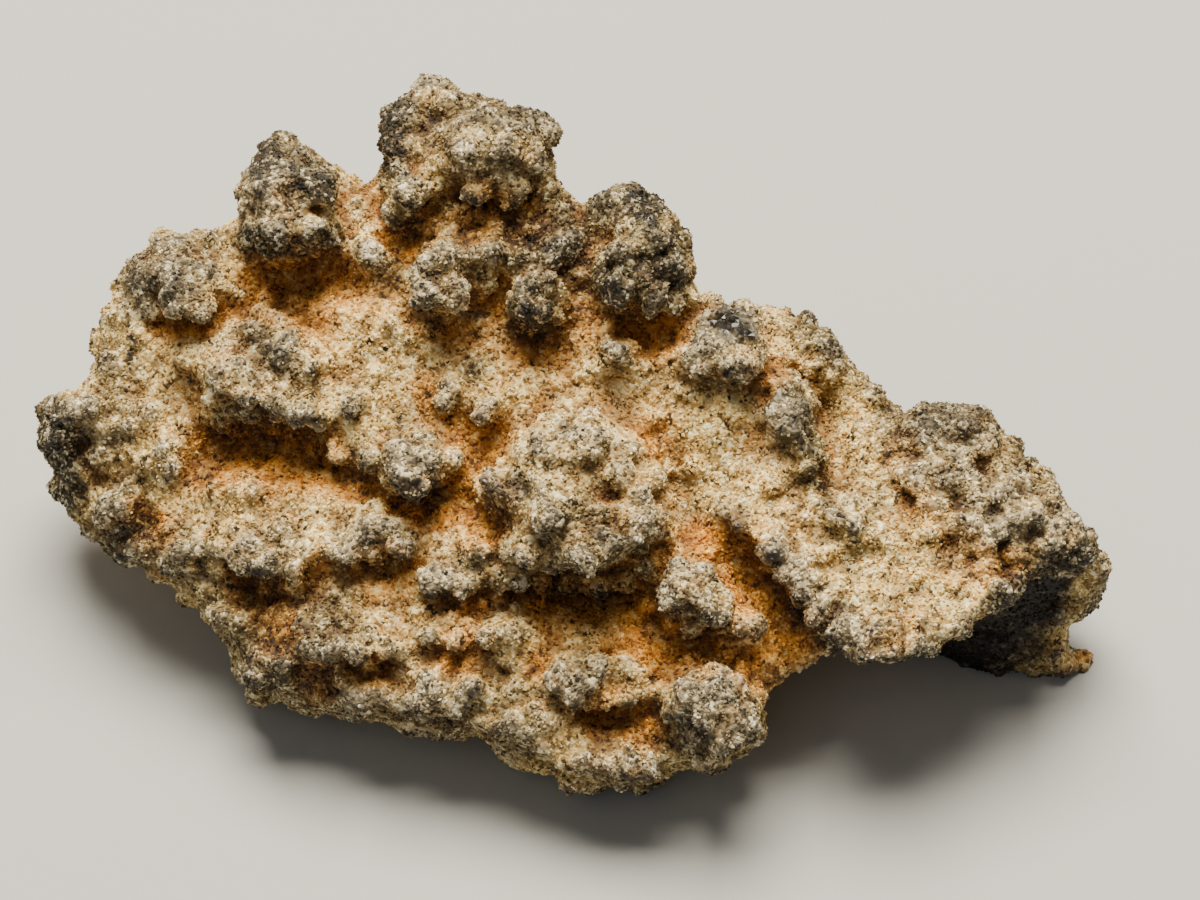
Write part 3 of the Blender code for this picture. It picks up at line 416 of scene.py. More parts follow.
def nub_balls(points, normals, rugged, nubs, random):
    """Nubs at random over the skin, where it is crowded most: centres and radii."""
    count, smallest, largest, shallow, deep, elsewhere = nubs
    crowd = elsewhere + rugged
    chosen = random.choice(len(points), count, replace=False, p=crowd / crowd.sum())
    radii = smallest + (largest - smallest) * random.random(count) ** 2
    middles = points[chosen] - normals[chosen] * (radii * random.uniform(shallow, deep, count))[:, None]
    return [(*middle, radius) for middle, radius in zip(middles, radii)]


def with_balls(mesh, balls):
    """The mesh with a small round ball added for each (x, y, z, radius)."""
    bm = bmesh.new()
    bmesh.ops.create_icosphere(bm, subdivisions=2, radius=1.0)
    shell = np.array([vert.co for vert in bm.verts])
    sides = np.array([[vert.index for vert in face.verts] for face in bm.faces])
    bm.clear()
    balls = np.array(balls)
    points = (balls[:, None, :3] + balls[:, None, 3:] * shell[None]).reshape(-1, 3) * MM
    faces = (sides[None] + len(shell) * np.arange(len(balls))[:, None, None]).reshape(-1, 3)
    extra = bpy.data.meshes.new("balls")
    extra.from_pydata(points.tolist(), [], faces.tolist())
    bm.from_mesh(mesh)
    bm.from_mesh(extra)
    both = bpy.data.meshes.new("with_balls")
    bm.to_mesh(both)
    bm.free()
    return both


points, normals = points_of(skin), normals_of(skin)
rugged = ruggedness(points, normals, links_of(skin))
nubs = nub_balls(points, normals, rugged, LUMP_NUBS, random)
nubs += nub_balls(points, normals, rugged, EVEN_NUBS, random)
skin = melted(with_balls(skin, [*knobs, *nubs]), SKIN_CELL)
links = links_of(skin)
set_points(skin, relaxed(points_of(skin), links, 1))
print("skin with", len(nubs), "nubs:", triangles_in(skin), "triangles")

# %% [markdown]
# ## Crusted roughness
# Between the knobs the melt swallowed clumps of sand. Round clumps come from cell noise, whose cells swell
# in the middle and pinch between, and a finer noise breaks them up. They are strong on the lumps and weak
# on the slopes, where loose sand has filled every dent. Decimate then thins the skin where it is flattest,
# so that the lumps keep their detail and the whole stays under 200,000 triangles.

# %% Roughen the skin
# each as (width, height)
CLUMPS = ((2.1, 0.55), (1.05, 0.42))
FINE_NOISE = (0.5, 0.10)
CALM = 0.3
MOST_TRIANGLES = 188000


def clumpy(point):
    return sum(size * (0.5 - noise.voronoi(Vector(point / width))[0][0]) for width, size in CLUMPS)


def fine(point):
    return FINE_NOISE[1] * noise.noise(Vector(point / FINE_NOISE[0]))


points, normals = points_of(skin), normals_of(skin)
rugged = relaxed(ruggedness(points, normals, links), links, 4)
swell = np.array([clumpy(point) for point in points]) * (CALM + (1.0 - CALM) * rugged)
swell += np.array([fine(point) for point in points])
points += normals * swell[:, None]
points[:, 2] = np.maximum(points[:, 2], 0.0)
set_points(skin, points)
store(skin, "rugged", rugged)
skin = modified(skin, "DECIMATE", ratio=MOST_TRIANGLES / triangles_in(skin))
print("clumps swell from", swell.min().round(2), "to", swell.max().round(2), "mm")
print("skin thinned to", triangles_in(skin), "triangles")

# %% [markdown]
# ## What the weather left where, and where shade is painted
# Rusty dust stays in the hollows under the knobs, tops are washed grey, dirt and painted shade darken the
# small clefts, and bare glass shows in a few places. Three measures of the shape tell where: how far a point
# stands above the skin when that is relaxed a lot (knobs and hollows) and a little (single nubs and the
# clefts between them), and how much of the sky near it is hidden.

# %% Measure relief and shelter
BROAD_ROUNDS = 160
FINE_ROUNDS = 18
SKY_RAYS = 14
SKY_REACH = 9.0
RAY_START = 0.25
GOLDEN_ANGLE = 2.399963


def sky_directions(count):
    """Even directions over the half-sphere above a level place."""
    turns = np.arange(count) * GOLDEN_ANGLE
    height = (np.arange(count) + 0.5) / count
    flat = np.sqrt(1.0 - height * height)
    return np.stack((flat * np.cos(turns), flat * np.sin(turns), height), axis=1)


def shelter_of(mesh, points, normals):
    """The share of near rays, spread round each point's normal, that hit the piece itself."""
    tree = BVHTree.FromPolygons([Vector(p) for p in points], [tuple(f.vertices) for f in mesh.polygons])
    rays = sky_directions(SKY_RAYS)
    starts = points + RAY_START * normals
    hits = np.zeros(len(points))
    for i, (start, normal) in enumerate(zip(starts, normals)):
        turn = Vector((0, 0, 1)).rotation_difference(Vector(normal))
        origin = Vector(start)
        for ray in rays:
            if tree.ray_cast(origin, turn @ Vector(ray), SKY_REACH)[0] is not None:
                hits[i] += 1.0
    return hits / SKY_RAYS


def relief_of(points, normals, links, rounds):
    """How far each point stands above the relaxed skin."""
    return np.einsum("ij,ij->i", points - relaxed(points, links, rounds), normals)


points, normals, links, rugged = points_of(skin), normals_of(skin), links_of(skin), stored(skin, "rugged")
relief = relief_of(points, normals, links, BROAD_ROUNDS)
fine_relief = relief_of(points, normals, links, FINE_ROUNDS)
shelter = shelter_of(skin, points, normals)
shelter = relaxed(shelter, links, 3)
print("relief runs from", relief.min().round(2), "to", relief.max().round(2), "mm")
print("fine relief: 5, 50 and 95 % lies below", np.percentile(fine_relief, (5, 50, 95)).round(2), "mm")
print("mean shelter", shelter.mean().round(2))

# %% [markdown]
# ## Stains and painted shade, laid one by one
# Chance has its part too, so each list holds soft round patches on the face: across, up, radius, strength.
# Rust is iron-stained sand, and clean patches take rust and grey away again; some of them also lighten
# places the shape leaves in shade, which is painted light. Glass is the black melt laid bare. The underside
# patches paint shade on what looks down, the soot patches are partly dark stain and partly painted shade,
# and the cleft patches paint the shadow deep behind the face, in the channel under the lobe's lip.

# %% Place the stains
RUST_PATCHES = [
    (-21.0, 11.6, 3.4, 0.8), (-17.0, 11.4, 2.4, 0.5), (-29.6, 9.8, 1.8, 0.7), (-27.6, -0.6, 2.4, 0.8),
    (-24.0, -0.6, 2.6, 0.9), (-20.4, -0.9, 2.4, 0.9), (-17.8, -2.2, 1.6, 0.9), (-8.9, 1.0, 1.7, 1.0),
    (-12.4, 4.2, 1.3, 0.7), (-12.2, -3.6, 2.2, 0.8), (-7.4, -4.0, 1.8, 0.7), (-8.4, 17.0, 2.2, 0.7),
    (-5.6, 16.2, 2.0, 0.8), (-13.6, 15.4, 1.8, 0.5), (-9.6, 8.6, 2.4, 0.5), (-5.0, 8.0, 2.4, 0.5),
    (-1.0, 9.4, 1.8, 0.6), (4.2, 8.0, 1.8, 1.0), (1.8, 9.4, 1.4, 0.8), (11.8, 5.2, 1.5, 1.0),
    (3.8, 1.3, 1.5, 0.5), (9.4, 1.4, 1.4, 0.5), (8.6, -6.4, 2.2, 0.8), (10.6, -8.0, 2.0, 0.9),
    (11.6, -11.0, 2.4, 1.0), (13.0, -13.4, 2.6, 1.0), (11.6, -15.8, 2.0, 0.9), (-2.6, -11.8, 2.6, 0.8),
    (1.4, -12.4, 2.6, 0.9), (4.4, -14.0, 2.2, 0.7), (7.6, -14.2, 1.6, 0.6), (-24.2, -10.6, 2.0, 0.8),
    (-22.6, -13.2, 1.8, 0.9), (-20.4, -9.2, 1.4, 0.6), (-15.4, -8.8, 2.0, 0.8), (-20.0, -16.4, 1.6, 0.7),
    (-16.6, -15.8, 1.6, 0.7), (-10.2, -14.6, 1.8, 0.8), (-9.4, -10.8, 1.4, 0.5), (0.8, -18.8, 1.8, 0.8),
    (2.6, -20.2, 1.4, 0.7), (-4.2, -15.4, 1.2, 0.7), (-32.0, -5.8, 1.6, 0.9), (-33.4, -4.4, 1.2, 0.7),
    (21.4, 0.2, 1.6, 0.4), (28.8, -9.0, 1.8, 0.6), (26.0, -7.6, 2.0, 0.4), (22.4, -4.0, 1.4, 0.4),
    (21.0, -13.4, 2.0, 0.4), (34.6, -16.0, 1.6, 1.0), (-8.6, -6.2, 1.4, 0.6),
]
# Clean sand; some of these patches also lighten places the shape leaves in shade, which is painted light.
CLEAN_AND_LIGHT_PATCHES = [
    (17.4, 4.2, 1.8, 0.8), (17.6, 1.2, 1.9, 0.9), (18.0, -1.6, 1.8, 0.8), (19.6, 2.6, 1.8, 0.5),
    (6.4, -3.0, 2.4, 0.7), (-21.4, 11.0, 2.0, 0.3), (9.0, 2.6, 2.4, 0.5), (-7.0, 21.4, 1.6, 0.5),
    (-12.0, 18.4, 1.4, 0.5), (17.4, -7.6, 2.8, 0.4), (18.6, -10.6, 2.0, 0.4), (18.2, -5.4, 1.8, 0.8),
    (-1.6, -12.8, 2.6, 0.45), (-7.0, -11.6, 1.8, 0.4), (12.4, -3.4, 1.6, 0.4), (-9.0, -9.0, 1.4, 0.4),
]
GLASS_PATCHES = [
    (9.2, 9.3, 1.2, 1.0), (8.0, 9.2, 0.7, 0.8), (10.5, 8.4, 0.8, 1.0), (-36.1, 9.4, 0.7, 1.0),
    (-8.7, 9.4, 0.4, 0.9), (-2.5, 1.7, 0.5, 0.9), (12.8, 4.0, 0.5, 0.8), (13.8, 2.1, 0.5, 0.8),
    (14.9, 0.0, 0.5, 0.8), (9.8, -5.0, 0.7, 0.7), (-23.4, 7.0, 0.5, 0.6), (-16.0, -17.4, 0.4, 0.9),
    (-20.3, 1.9, 0.5, 0.8), (5.2, -19.0, 0.5, 0.7), (12.5, -7.4, 0.7, 0.7),
]
# Painted shade: patches that darken knob and ledge undersides, only where the surface looks down.
UNDERSIDE_SHADE_PATCHES = [
    (-22.6, 16.0, 1.8, 0.8), (-19.6, 15.8, 1.4, 0.7), (-24.9, 15.4, 1.4, 0.9), (-20.0, 19.0, 1.8, 0.7),
    (-13.9, 15.8, 1.6, 0.9), (-14.2, 21.4, 1.8, 0.9), (-3.6, 17.4, 1.8, 0.8), (-12.2, 10.0, 1.4, 0.6),
    (-9.6, 9.8, 1.4, 0.6), (-4.9, 9.2, 2.0, 1.0), (-2.6, 12.0, 1.6, 0.8), (4.8, 13.0, 2.0, 1.0),
    (1.0, 10.4, 1.8, 0.8), (-39.4, -0.4, 2.4, 1.0), (-38.0, -2.8, 1.8, 0.9), (-30.0, 10.2, 1.6, 0.5),
    (11.4, 4.4, 1.2, 0.7), (-26.6, 1.9, 1.4, 0.8), (-23.6, 2.2, 1.5, 0.6), (-20.6, 1.8, 1.3, 0.6),
    (-17.0, -1.2, 1.4, 0.8), (-12.8, -3.0, 1.8, 1.0), (-7.0, -3.8, 1.6, 0.8), (-5.4, -9.4, 1.2, 0.9),
    (-2.6, -9.6, 1.3, 1.0), (0.6, -9.6, 1.3, 1.0), (3.0, -8.8, 1.0, 0.7), (13.4, 0.6, 1.4, 0.8),
    (14.6, -2.4, 1.4, 0.9), (12.4, -8.4, 1.2, 0.6), (14.4, -11.2, 1.2, 1.0), (16.4, -13.2, 1.3, 1.0),
    (6.4, -20.4, 1.6, 0.8), (4.8, -18.6, 1.2, 0.8), (7.4, -13.4, 1.6, 0.7), (-24.0, -8.9, 2.0, 0.7),
    (-15.6, -7.9, 2.0, 0.7), (-18.4, -14.8, 2.0, 0.8), (5.0, -7.0, 1.2, 0.6),
]
# Partly dark stain, partly painted shade: the dark places under the horns, on the rims and under the lobe.
SOOT_AND_SHADE_PATCHES = [
    # the left horn and the knobs beside it
    (-24.0, 21.2, 1.8, 0.95), (-21.4, 21.4, 1.8, 0.75), (-20.2, 19.4, 1.7, 0.9), (-25.0, 15.0, 1.2, 1.0),
    (-23.4, 14.6, 1.2, 1.0), (-21.4, 14.5, 1.2, 0.95), (-19.7, 14.9, 1.2, 0.95), (-24.4, 17.8, 1.0, 0.7),
    (-22.4, 17.6, 0.8, 0.4), (-29.9, 11.2, 1.7, 0.75), (-28.6, 14.6, 2.0, 0.65), (-33.0, 12.6, 1.8, 0.7),
    (-34.4, 5.8, 2.0, 0.5), (-24.5, 8.3, 0.9, 0.7), (-23.0, 6.8, 0.9, 0.7), (-17.7, 3.2, 1.0, 0.6),
    (-16.8, -0.8, 1.6, 0.5), (-18.0, 18.0, 1.4, 0.4),
    # the middle horn
    (-14.8, 24.0, 1.8, 0.9), (-15.0, 21.2, 1.8, 1.0), (-11.8, 22.6, 1.8, 0.55), (-8.4, 25.2, 2.0, 0.75),
    (-5.4, 24.6, 1.8, 0.75), (-3.6, 21.4, 1.3, 0.4), (-15.0, 12.6, 1.2, 0.5), (-9.0, 8.8, 1.4, 0.4),
    (-8.6, 17.4, 2.2, 0.45), (-11.2, 16.4, 1.6, 0.4), (-3.2, 17.0, 1.8, 0.8), (-8.8, 14.6, 2.4, 0.55),
    (-5.6, 15.0, 2.4, 0.9), (-3.2, 13.6, 2.2, 0.85), (-1.2, 15.8, 1.5, 0.85), (-4.4, 10.2, 2.0, 0.75),
    (-10.8, 12.0, 2.2, 0.35), (-2.0, 10.4, 1.6, 0.5), (-9.0, 6.0, 1.2, 0.8),
    # the right horn
    (3.4, 17.6, 1.8, 1.0), (0.2, 17.4, 1.8, 0.8), (-2.6, 18.6, 1.4, 0.6), (2.6, 14.2, 3.2, 0.45),
    (4.2, 12.4, 2.2, 0.85), (1.2, 12.0, 2.4, 0.9), (-2.4, 12.2, 1.2, 0.7), (5.0, 10.8, 1.4, 0.5),
    (6.0, 14.8, 1.6, 0.85),
    # the left rim and the lower left
    (-39.6, 0.2, 3.0, 1.0), (-37.0, 0.0, 1.6, 0.6), (-38.8, -3.0, 2.2, 0.95), (-35.8, -6.2, 2.0, 0.65),
    (-33.4, -3.4, 2.0, 0.45), (-33.4, -6.8, 2.4, 0.9), (-36.2, -8.2, 2.0, 0.9), (-30.4, -6.4, 1.6, 0.5),
    (-28.6, 0.4, 2.2, 0.35), (-24.6, -12.0, 3.4, 0.65), (-20.2, -12.4, 3.4, 0.7), (-23.6, -15.4, 2.8, 0.8),
    (-20.0, -17.4, 2.4, 0.75), (-27.6, -11.6, 1.8, 0.5),
    # the middle and the foot
    (-6.0, -2.8, 1.3, 0.8), (0.2, -6.0, 2.0, 0.6), (-2.8, -5.8, 2.0, 0.55), (8.8, 0.2, 1.4, 0.35),
    (8.4, -18.6, 3.2, 0.3), (5.4, -20.6, 1.2, 0.6), (0.6, -23.0, 3.0, 0.4), (-6.0, -20.8, 2.4, 0.3),
    # down the right shoulder and on the lobe
    (12.9, 5.6, 0.7, 0.6), (13.7, 4.3, 0.7, 0.7), (14.5, 3.1, 0.7, 0.7), (15.0, 1.8, 0.8, 0.8),
    (15.4, 0.4, 0.8, 0.8), (15.7, -1.0, 0.8, 0.8), (16.0, -2.4, 0.8, 0.8), (16.3, -3.7, 0.7, 0.7),
    (12.4, -7.4, 0.8, 0.5), (22.0, 2.2, 2.6, 0.7), (25.6, 2.6, 2.4, 0.7), (28.4, 2.4, 1.6, 0.65),
    (16.4, 9.0, 2.8, 0.75), (19.2, 5.8, 2.2, 0.5), (33.2, -2.6, 1.8, 0.5), (30.4, 0.2, 1.6, 0.6),
    (24.8, -2.0, 0.6, 0.8), (28.0, -4.4, 0.8, 0.7), (27.4, -1.4, 0.5, 0.8), (30.1, -0.3, 0.5, 0.8),
    (30.6, -2.7, 0.6, 0.7), (32.3, -3.9, 0.7, 0.4), (25.7, -6.5, 1.3, 0.6), (24.6, -7.8, 0.8, 0.6),
    (22.2, -3.5, 0.6, 0.6), (21.6, 1.8, 0.6, 0.8), (20.5, -0.3, 0.5, 0.7), (26.5, 2.7, 0.6, 0.7),
    (22.7, -10.1, 0.4, 0.7), (25.5, -10.4, 0.4, 0.7), (28.2, -8.4, 1.0, 0.5),
    # painted shadow under the lobe's lip and on the fin
    (28.6, -11.0, 1.1, 1.0), (30.2, -9.8, 1.3, 1.0), (31.9, -8.7, 1.1, 1.0), (33.8, -8.1, 1.1, 1.0),
    (35.0, -7.2, 0.9, 1.0), (32.4, -9.8, 1.1, 1.0), (27.4, -14.8, 2.6, 1.0), (30.0, -14.2, 1.6, 0.35),
    (28.0, -17.6, 2.2, 0.8), (36.2, -6.0, 1.2, 0.4),
]
# Painted shadow deep in the cleft under the lobe's lip.
CLEFT_SHADOW_PATCHES = [
    (24.8, -14.4, 1.8, 1.0), (26.8, -13.6, 2.2, 1.0), (29.2, -12.2, 2.2, 1.0), (31.2, -10.8, 2.0, 1.0),
    (32.4, -9.2, 1.2, 1.0), (34.0, -7.6, 0.8, 1.0), (27.6, -15.4, 1.8, 0.8), (30.4, -13.8, 1.6, 0.7),
]
# The count joins the underside shade patches and the soot-and-shade patches.
print(len(RUST_PATCHES), "patches of rust,", len(UNDERSIDE_SHADE_PATCHES) + len(SOOT_AND_SHADE_PATCHES), "of smoke and soot")

# %% [markdown]
# ## From measures and patches to stains and painted shade
# Every stain, and every painted shade, becomes one number for each point, from 0 to 1. The patches are
# placed as they are seen from 400 mm in front of the face, so a place that stands out of the face or lies
# behind it is first moved to where it is seen. A minus in front of a measure turns it round, and the shares
# in the sums are given in the code.

# %% Work out each stain
LOOKING_DISTANCE = 400.0
LOOKS_DOWN = (-0.35, 0.25)
BEHIND_THE_FACE = (-18.0, -15.0)
BEHIND_THE_GLASS = (-13.0, -10.0)
CLEFT_DEPTH = (4.0, 6.0)
CHANNEL_FACING = (-0.3, 0.4)
CHANNEL_ACROSS = (9.0, 16.0)
CHANNEL_DEPTH = (3.0, 7.0)


def rust_on(shelter, relief, fine_relief, patches, clean_and_painted_light):
    """Rust sits where the sky is hidden, in the patches apart from their tops, and in small clefts."""
    hollows = 0.9 * step(shelter, 0.3, 0.72) * step(-relief, -0.3, 0.7)
    clefts = 0.4 * step(-fine_relief, 0.0, 0.14) * step(shelter, 0.1, 0.4)
    return np.clip(hollows + patches * (1.0 - 0.8 * step(relief, 0.2, 0.9)) + clefts - clean_and_painted_light, 0, 1)


def grey_on(relief, fine_relief, rugged, lumps, rust, clean_and_painted_light):
    """Grey sits on what stands proud, on lumps and on single nubs, and not on rust or clean sand."""
    grey = 0.45 * step(relief, 0.15, 1.3) + 0.4 * rugged + 0.5 * lumps - 0.7 * rust
    return grey + (0.35 * step(fine_relief, 0.0, 0.2) - 0.17 - 0.4 * clean_and_painted_light)


def painted_underside_shade(turned, rugged):
    """Painted shade under ledges, and half as much on steep sides."""
    below = step(-turned[:, 1], 0.1, 0.75) * (0.35 + 0.65 * rugged)
    sides = 0.5 * step(np.abs(turned[:, 0]), 0.55, 0.9) * step(-turned[:, 1], -0.3, 0.1) * rugged
    return np.maximum(below, sides)


places = on_face(points)
seen = places.copy()
seen[:, :2] *= (LOOKING_DISTANCE / (LOOKING_DISTANCE - places[:, 2:]))
turned = normals @ FACE_AXES.T
front = in_front(normals)
near = front * step(places[:, 2], *BEHIND_THE_FACE)
channel = step(-turned[:, 2], *CHANNEL_FACING) * step(places[:, 0], *CHANNEL_ACROSS)
channel = channel * step(-places[:, 2], *CHANNEL_DEPTH)

# Clean sand, which in some patches also lightens places the shape leaves in shade: painted light.
clean_and_painted_light = laid(seen, near, CLEAN_AND_LIGHT_PATCHES)
# Painted shadow deep in the cleft under the lobe's lip.
cleft_shadow = laid(seen, front * step(-places[:, 2], *CLEFT_DEPTH), CLEFT_SHADOW_PATCHES)
rust = rust_on(shelter, relief, fine_relief, laid(seen, near, RUST_PATCHES), clean_and_painted_light)
grey = grey_on(relief, fine_relief, rugged, laid(places, near, LUMPS), rust, clean_and_painted_light)
glass_and_shadow = laid(seen, front * step(places[:, 2], *BEHIND_THE_GLASS), GLASS_PATCHES)
# Shiny black glass on the channel's inside, and the cleft's painted shadow in the same near-black.
glass_and_shadow = np.maximum(np.maximum(glass_and_shadow, 0.4 * channel * step(shelter, 0.45, 0.7)), 0.3 * cleft_shadow)
# Dirt and painted shade in the small clefts between nubs, painted shade in the channel under the lobe, and
# the cleft's painted shadow.
dirt_and_shade = np.maximum(step(-fine_relief, -0.02, 0.15) * (0.5 + 0.5 * rugged), 0.6 * channel)
dirt_and_shade = np.maximum(dirt_and_shade, cleft_shadow)
# Painted shade on undersides and steep sides, in the underside patches and the channel under the lobe; soot
# patches that are partly dark stain, partly painted shade; and the cleft's painted shadow.
underside_shade = step(-turned[:, 1], *LOOKS_DOWN) * laid(seen, near, UNDERSIDE_SHADE_PATCHES)
soot_and_painted_shade = np.maximum(painted_underside_shade(turned, rugged) * front, np.maximum(underside_shade, 0.8 * channel))
soot_and_painted_shade = np.maximum(soot_and_painted_shade, np.maximum(laid(seen, front, SOOT_AND_SHADE_PATCHES), cleft_shadow))

STAINS = (("dirt_and_shade", dirt_and_shade, 1), ("rust", rust, 2), ("grey", grey, 2), ("glass_and_shadow", glass_and_shadow, 2), ("soot_and_painted_shade", soot_and_painted_shade, 2))
for name, values, rounds in STAINS:
    store(skin, name, relaxed(np.clip(values, 0.0, 1.0), links, rounds))
    print(name, "covers", round(100 * float(np.clip(values, 0.0, 1.0).mean())), "% of the skin")

# %% [markdown]
# ## Materials
# Each material is a small graph of nodes. Colours are written as on the web and turned to Blender's linear
# values by one function, and one more function adds a node with its settings and links.

# %% Helpers for materials
def colour(code):
    """A web colour such as "#c8b080" as linear red, green, blue and alpha."""
    channels = [int(code[i:i + 2], 16) / 255 for i in (1, 3, 5)]
    return (*[c / 12.92 if c <= 0.04045 else ((c + 0.055) / 1.055) ** 2.4 for c in channels], 1.0)


def add(tree, kind, settings=None, **inputs):
    """Adds a node, sets its settings, and fills its inputs with values or with other nodes' outputs.

    An input goes by its name, with _ for a space, or by its number, as i0, where names repeat."""
    node = tree.nodes.new(kind)
    for key, value in (settings or {}).items():
        setattr(node, key, value)
    for key, value in inputs.items():
        numbered = key[0] == "i" and key[1:].isdigit()
        socket = node.inputs[int(key[1:])] if numbered else node.inputs[key.replace("_", " ")]
        if isinstance(value, bpy.types.NodeSocket):
            tree.links.new(value, socket)
        else:
            socket.default_value = value
    return node


def ramp(tree, value, stops):
    """Turns a number from 0 to 1 into one of a row of colours."""
    node = add(tree, "ShaderNodeValToRGB", Fac=value)
    while len(node.color_ramp.elements) < len(stops):
        node.color_ramp.elements.new(1.0)
    for element, (position, code) in zip(node.color_ramp.elements, stops):
        element.position = position
        element.color = colour(code)
    return node.outputs["Color"]


def blend(tree, share, first, second, mode="MIX"):
    """Goes from the first colour to the second, or multiplies them."""
    settings = {"data_type": "RGBA", "blend_type": mode}
    node = add(tree, "ShaderNodeMix", settings, i0=share, i6=first, i7=second)
    return node.outputs[2]


def attribute(tree, name):
    return add(tree, "ShaderNodeAttribute", {"attribute_name": name}).outputs["Fac"]


print("material helpers ready")

# %% [markdown]
# ### Fused sand
# Quartz sand held in frozen melt: pale, golden and smoky grains side by side, matt as a whole, with a grain
# here and there that catches the light. Medium sand is 0.2 to 0.4 mm across, so the cells of the pattern
# are 0.3 mm wide. Each grain's tone is its own plus that of a mottle about 1 mm wide, because the melt
# holds patches of darker and paler grains, and picks a colour from one of three rows: clean sand, rusty
# sand or grey tops. A broader drift makes the edges of rust and grey wander. Soot mixed with painted shade,
# then dirt mixed with painted shade, darken the sand, and the painted shade spares the palest grains by
# half, so bright specks stay in it. Bare glass is black and shiny, and has no grain dents; the same black
# also paints the shadow in the cleft under the lobe.

# %% Make the fused sand
GRAIN_WIDTH = 0.30
DENT_DEPTH = 0.12
MOTTLE_WIDTH = 0.9
DRIFT_WIDTH = 2.4
TONE_OF_GRAIN = (0.8, -0.55)
TONE_OF_MOTTLE = 1.3
EDGE_DRIFT = (0.9, -0.48)
CLEAN_TONES = ((0.0, "#3a2e14"), (0.12, "#8a6c36"), (0.33, "#d0aa5e"), (0.6, "#f4d286"), (0.9, "#fff4c0"))
RUSTY_TONES = ((0.0, "#44290a"), (0.2, "#a06014"), (0.45, "#d68a24"), (0.75, "#eeaa40"), (1.0, "#facf76"))
GREY_TONES = ((0.0, "#26201a"), (0.2, "#5e5340"), (0.5, "#98886a"), (0.8, "#c8b792"), (1.0, "#f6ecd0"))
# Multiplied in for soot and for painted shade under ledges, on steep sides, in the channel and the cleft.
SOOT_AND_SHADE_COLOUR = "#3a311a"
# Multiplied in for dirt and painted shade in the small clefts, the channel and the cleft.
DIRT_AND_SHADE_COLOUR = "#5a4832"
# Mixed in for bare glass and for the cleft's painted shadow.
GLASS_AND_SHADOW_COLOUR = "#17140f"


def fused_sand(name, tone_name=None):
    """Sand with its tones from a pattern of cells, or from a number stored on each grain."""
    material = bpy.data.materials.new(name)
    material.use_nodes = True
    tree = material.node_tree
    shader = tree.nodes["Principled BSDF"]
    where = add(tree, "ShaderNodeTexCoord").outputs["Object"]
    if tone_name:
        tone = attribute(tree, tone_name)
    else:
        cells = add(tree, "ShaderNodeTexVoronoi", Vector=where, Scale=1.0 / (GRAIN_WIDTH * MM))
        tone = add(tree, "ShaderNodeSeparateColor", Color=cells.outputs["Color"]).outputs["Red"]
        depth = add(tree, "ShaderNodeMapRange", Value=attribute(tree, "glass_and_shadow"), To_Min=0.9, To_Max=0.1)
        dents = add(tree, "ShaderNodeBump", {"invert": True}, Strength=depth.outputs["Result"],
                    Distance=DENT_DEPTH * MM, Height=cells.outputs["Distance"])
        tree.links.new(dents.outputs["Normal"], shader.inputs["Normal"])

    mottle = add(tree, "ShaderNodeTexNoise", Vector=where, Scale=1.0 / (MOTTLE_WIDTH * MM), Detail=2.0)
    own = add(tree, "ShaderNodeMath", {"operation": "MULTIPLY_ADD"}, i0=tone, i1=TONE_OF_GRAIN[0],
              i2=TONE_OF_GRAIN[1])
    tone = add(tree, "ShaderNodeMath", {"operation": "MULTIPLY_ADD"}, i0=mottle.outputs["Fac"],
               i1=TONE_OF_MOTTLE, i2=own.outputs[0])
    tone = add(tree, "ShaderNodeClamp", Value=tone.outputs[0]).outputs[0]

    drift = add(tree, "ShaderNodeTexNoise", Vector=where, Scale=1.0 / (DRIFT_WIDTH * MM), Detail=3.0)
    edge = add(tree, "ShaderNodeMath", {"operation": "MULTIPLY_ADD"}, i0=drift.outputs["Fac"],
               i1=EDGE_DRIFT[0], i2=EDGE_DRIFT[1]).outputs[0]
    rusty = add(tree, "ShaderNodeMath", {"operation": "ADD", "use_clamp": True},
                i0=attribute(tree, "rust"), i1=edge).outputs[0]
    greyed = add(tree, "ShaderNodeMath", {"operation": "SUBTRACT", "use_clamp": True},
                 i0=attribute(tree, "grey"), i1=edge).outputs[0]
    sand = blend(tree, greyed, ramp(tree, tone, CLEAN_TONES), ramp(tree, tone, GREY_TONES))
    sand = blend(tree, rusty, sand, ramp(tree, tone, RUSTY_TONES))

    # Soot and painted shade spare the palest grains by half, so bright specks stay in the shade.
    spared_pale_grains = add(tree, "ShaderNodeMapRange", Value=tone, From_Min=0.6, From_Max=0.95, To_Min=1.0, To_Max=0.5)
    shade_share = add(tree, "ShaderNodeMath", {"operation": "MULTIPLY"}, i0=attribute(tree, "soot_and_painted_shade"),
                i1=spared_pale_grains.outputs["Result"])
    # Soot and painted shade darken the sand.
    sand = blend(tree, shade_share.outputs[0], sand, colour(SOOT_AND_SHADE_COLOUR), "MULTIPLY")
    # Dirt and painted shade in the clefts, the channel and the cleft under the lobe.
    sand = blend(tree, attribute(tree, "dirt_and_shade"), sand, colour(DIRT_AND_SHADE_COLOUR), "MULTIPLY")
    # Bare glass, and the cleft's painted shadow in the same near-black.
    sand = blend(tree, attribute(tree, "glass_and_shadow"), sand, colour(GLASS_AND_SHADOW_COLOUR))
    tree.links.new(sand, shader.inputs["Base Color"])

    dull = add(tree, "ShaderNodeMapRange", Value=tone, From_Min=0.8, From_Max=1.0, To_Min=0.75, To_Max=0.35)
    shine = add(tree, "ShaderNodeMapRange", Value=attribute(tree, "glass_and_shadow"), To_Min=1.0, To_Max=0.3)
    rough = add(tree, "ShaderNodeMath", {"operation": "MULTIPLY"},
                i0=dull.outputs["Result"], i1=shine.outputs["Result"])
    tree.links.new(rough.outputs[0], shader.inputs["Roughness"])
    return material


